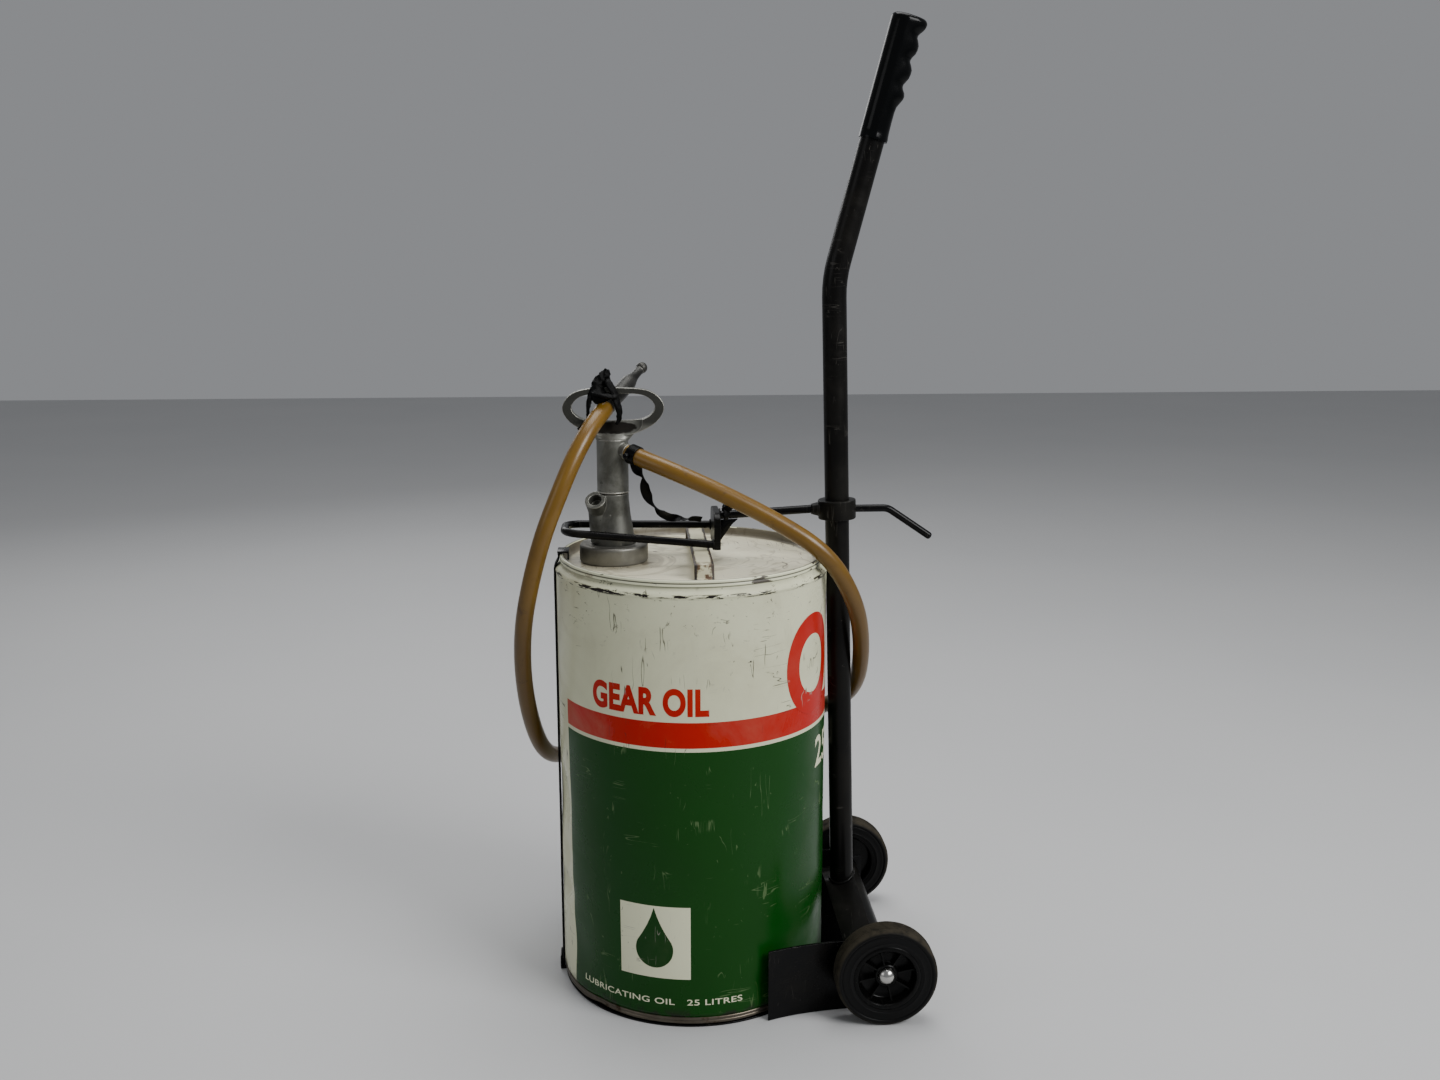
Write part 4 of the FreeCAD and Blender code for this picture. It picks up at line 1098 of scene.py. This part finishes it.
def hand_grip(material):
    """Moulded grip with a skirt, three finger ridges behind and a flared, domed top."""
    side = Vector((0, 1, 0)).cross(GRIP_AXIS)
    front = 14.3
    dome_low = 119.0
    dome = 5.0
    rear = [(0, 15.4), (3, 15.6), (6, 15.2), (10, 14.9), (20, 14.6), (30, 14.6), (36, 15.2), (41, 17.6),
            (45, 19.6), (48, 20.0), (51, 19.2), (54, 17.0), (56.5, 15.9), (59, 16.0), (62, 17.6),
            (66, 19.6), (70, 20.4), (74, 20.4), (78, 18.6), (81, 16.6), (83, 16.2), (86, 17.2),
            (90, 19.6), (94, 20.6), (98, 20.6), (102, 19.0), (105, 17.2), (107.5, 17.2), (110, 18.6),
            (113, 21.0), (116, 22.6), (dome_low, 23.2)]
    rear += [(dome_low + dome * math.sin(math.radians(t)), 23.2 - dome * (1 - math.cos(math.radians(t))))
             for t in (22, 45, 65, 80, 90)]
    turns = [2 * math.pi * k / 48 for k in range(48)]

    def ring_at(along, spots):
        middle = GRIP_LOW + GRIP_AXIS * along
        return [(middle + side * reach + Vector((0, 1, 0)) * across) * MM for reach, across in spots]

    rings = [ring_at(along, [(12.75 * math.cos(t), 12.75 * math.sin(t)) for t in turns])
             for along in (116.0, 0.0)]
    for along, back in rear:
        shrink = max(0.0, along - dome_low) / dome
        near = front - dome * (1 - math.sqrt(max(0.0, 1 - shrink * shrink)))
        half_wide = near - 0.3 + (1.0 if along < 6 else 0.0)
        spots = []
        for t in turns:
            across = half_wide * math.sin(t)
            if abs(across) > 1:
                seam = 0.5 * bump_shape((math.degrees(t) % 180 - 90) / 6.0)
                across += math.copysign(seam, across)
            spots.append(((back if math.cos(t) > 0 else near) * math.cos(t), across))
        rings.append(ring_at(along, spots))
    piece("grip_moulded", skin(rings, ends=(0, -1)), material, "trolley", 50, "hand_grip")


def trolley(black, worn, steel, cap_metal):
    """Mast, yoke, cheeks, base plate, axle and washers."""
    for name in ("mast", "axle_tube"):
        paint_node(name, worn)
    piece("yoke_bent", bevelled("yoke", 0.8, 3, 50), worn, "trolley", 50, "yoke")
    for name in ("cheek_left", "cheek_right"):
        piece(f"{name}_plate", bevelled(name, 0.6, 3, 50), black, "trolley", 50, name)
    piece("base_plate_pressed", bevelled("base_plate", 0.5, 2, 50), black, "trolley", 50, "base_plate")
    for name in ("axle", "axle_spacers", "axle_washers"):
        paint_node(name, steel)
    ring = []
    for k in range(49):
        x = 166.7 + 13.0 * math.cos(2 * math.pi * k / 48)
        y = 13.0 * math.sin(2 * math.pi * k / 48)
        ring.append((x, y, YOKE_TOP_Z + 0.29 * (x - 163.0) - 0.37 * max(abs(y) - 3.0, 0.0)))
    piece("mast_foot_weld", weld(ring, 1.6, 6.0), worn, "trolley", 70)
    for name, sign in (("right_axle_cap", -1), ("left_axle_cap", 1)):
        outline = [(6.05, 0.2), (9.3, 0.2)]
        outline += arc((0.0, -2.75), 9.85, 18, 90, 14)
        outline += [(0.0, 5.6), (4.0, 5.0), (6.05, 3.2)]
        mesh = lathe(outline, 48, (AXLE_X, sign * 147.9, WHEEL_R), (0, sign, 0))
        piece(f"{name}_domed", mesh, cap_metal, "trolley", 50, name)


# ---- wheels
def tyre_material():
    """Black rubber, brown with dust on its tread."""
    paint = Paint("tyre_dusty", Roughness=0.75, Specular_IOR_Level=0.15)
    radius = paint.length(paint.less(paint.x, AXLE_X * MM), paint.less(paint.z, WHEEL_R * MM))
    tread = paint.ramp(radius, 0.0490, 0.0518)
    dust = paint.ramp(paint.noise(70, 5, 0.7), 0.25, 0.6)
    paint.base = paint.mix(paint.times(tread, dust), rgb(0.002, 0.002, 0.002), rgb(0.032, 0.027, 0.018))
    return paint.finish(Roughness=paint.between(tread, 0.42, 0.85),
                        Normal=paint.bump(paint.noise(260, 3), 0.0003, 0.35))


def wheels(rubber, plastic):
    """Tyres with fine tread grooves, and dished hubs with thin ribs."""
    width = 27.0
    bore = 6.1
    inner_y = 127.0
    half = [(35.0, 1.4), (38.0, 1.1), (38.5, 0.75), (39.1, 1.1), (44.0, 0.7), (46.0, 0.35),
            (46.8, 0.9), (47.4, 0.25), (49.0, 0.15), (50.4, 0.6), (51.6, 1.6), (52.4, 3.0), (52.8, 4.6)]
    groove = [(WHEEL_R, 0.0), (WHEEL_R, 1.9), (WHEEL_R - 0.7, 2.15), (WHEEL_R - 0.7, 2.65)]
    tread = [(r, 5.6 + 2.9 * k + z) for k in range(6) for r, z in groove]
    tyre = half + [(r, z) for r, z in tread if z < width - 5.4]
    tyre += [(r, width - z) for r, z in reversed(half)]
    hub = [(bore, 0.0), (11.4, 0.0), (12.0, 0.6), (12.0, 10.0), (30.0, 11.0), (31.0, 10.0),
           (31.0, 3.2), (32.0, 2.6), (34.9, 2.6), (34.9, width - 1.8), (34.2, width - 1.1),
           (31.8, width - 0.7), (30.4, width - 0.9), (29.6, width - 1.8), (29.1, width - 3.4),
           (27.6, width - 12.0), (26.4, width - 13.2), (13.4, width - 14.4), (12.2, width - 13.6),
           (12.0, width - 7.4), (11.2, width - 6.6), (bore, width - 6.5)]
    for side, sign in (("right", -1), ("left", 1)):
        start = (AXLE_X, sign * inner_y, WHEEL_R)
        axis = (0, sign, 0)
        body = f"{side}_wheel"
        piece(f"{side}_tyre_treaded", lathe(tyre, 128, start, axis), rubber, body, 50, f"{side}_tyre")
        ribs = [hub_rib(start, axis, 45.0 * k + 12.0, width) for k in range(8)]
        shell = join_meshes([lathe(hub, 128, start, axis), *ribs])
        piece(f"{side}_hub_ribbed", shell, plastic, body, 40, f"{side}_hub")


def hub_rib(start, axis, angle, width):
    """One thin radial rib, higher at the middle boss than at the rim."""
    place = frame_at(start, axis) @ Matrix.Rotation(math.radians(angle), 4, "Z")
    profile = [(11.6, width - 15.0), (27.9, width - 13.4), (28.9, width - 6.2), (27.0, width - 7.6),
               (20.0, width - 7.8), (11.6, width - 7.4)]
    return skin([[place @ mm(r, y, z) for r, z in profile] for y in (-0.8, 0.8)], ends=(0, -1))


# ---- everything
camera()
studio()
castings = cast_metal("cast_aluminium", rgb(0.19, 0.19, 0.17), rgb(0.07, 0.07, 0.058), 0.5)
# The handle's casting gets painted shade in its ring's hollow and on its faces above 604 mm.
handle_casting = cast_metal("cast_aluminium_handle", rgb(0.24, 0.24, 0.215), rgb(0.10, 0.10, 0.085), 0.9,
                            ((PUMP_X + 1.5, -2.5, 603.5), (27.0, 8.0, 8.5)), 0.604)
dull_casting = cast_metal("cast_aluminium_dull", rgb(0.19, 0.185, 0.163), rgb(0.085, 0.08, 0.066), 0.5)
enamel = black_gloss("black_enamel", rgb(0.002, 0.002, 0.0023))
dark_casting = cast_metal("cast_aluminium_dark", rgb(0.045, 0.045, 0.042), rgb(0.012, 0.012, 0.011), 0.3)
worn_enamel = black_gloss("black_enamel_worn", rgb(0.0035, 0.0033, 0.003), 0.3, 0.55, 0.7)
moulded_black = black_gloss("black_moulding", rgb(0.0015, 0.0018, 0.002), 0.16, 0.3, 0.04)
hub_black = black_gloss("hub_moulding", rgb(0.0015, 0.0015, 0.0015), 0.24, 0.42, 0.1)
brass = plain("worn_brass", rgb(0.40, 0.27, 0.10), 0.4, 1.0)
steel = plain("bare_steel", rgb(0.35, 0.34, 0.32), 0.4, 0.9)
zinc = plain("zinc_cap", rgb(0.62, 0.61, 0.58), 0.22, 1.0)

hose_tube = hose(hose_rubber())
spout = nozzle(dark_casting)
drum_body(drum_paint())
drum_heads(seam_metal(), head_paint(), foot_metal())
livery()
drum_handle(strap_metal())
pump(castings, handle_casting, dull_casting, brass, moulded_black, steel)
cloth = cloth_black("black_cloth", 0.55)
cloth_tie(cloth)
ribbon(cloth_black("black_ribbon", 0.35))
arm_cloth(cloth)
front_strap(webbing_material(), enamel)
clamp(enamel, worn_enamel)
hand_grip(moulded_black)
trolley(enamel, worn_enamel, steel, zinc)
wheels(tyre_material(), hub_black)
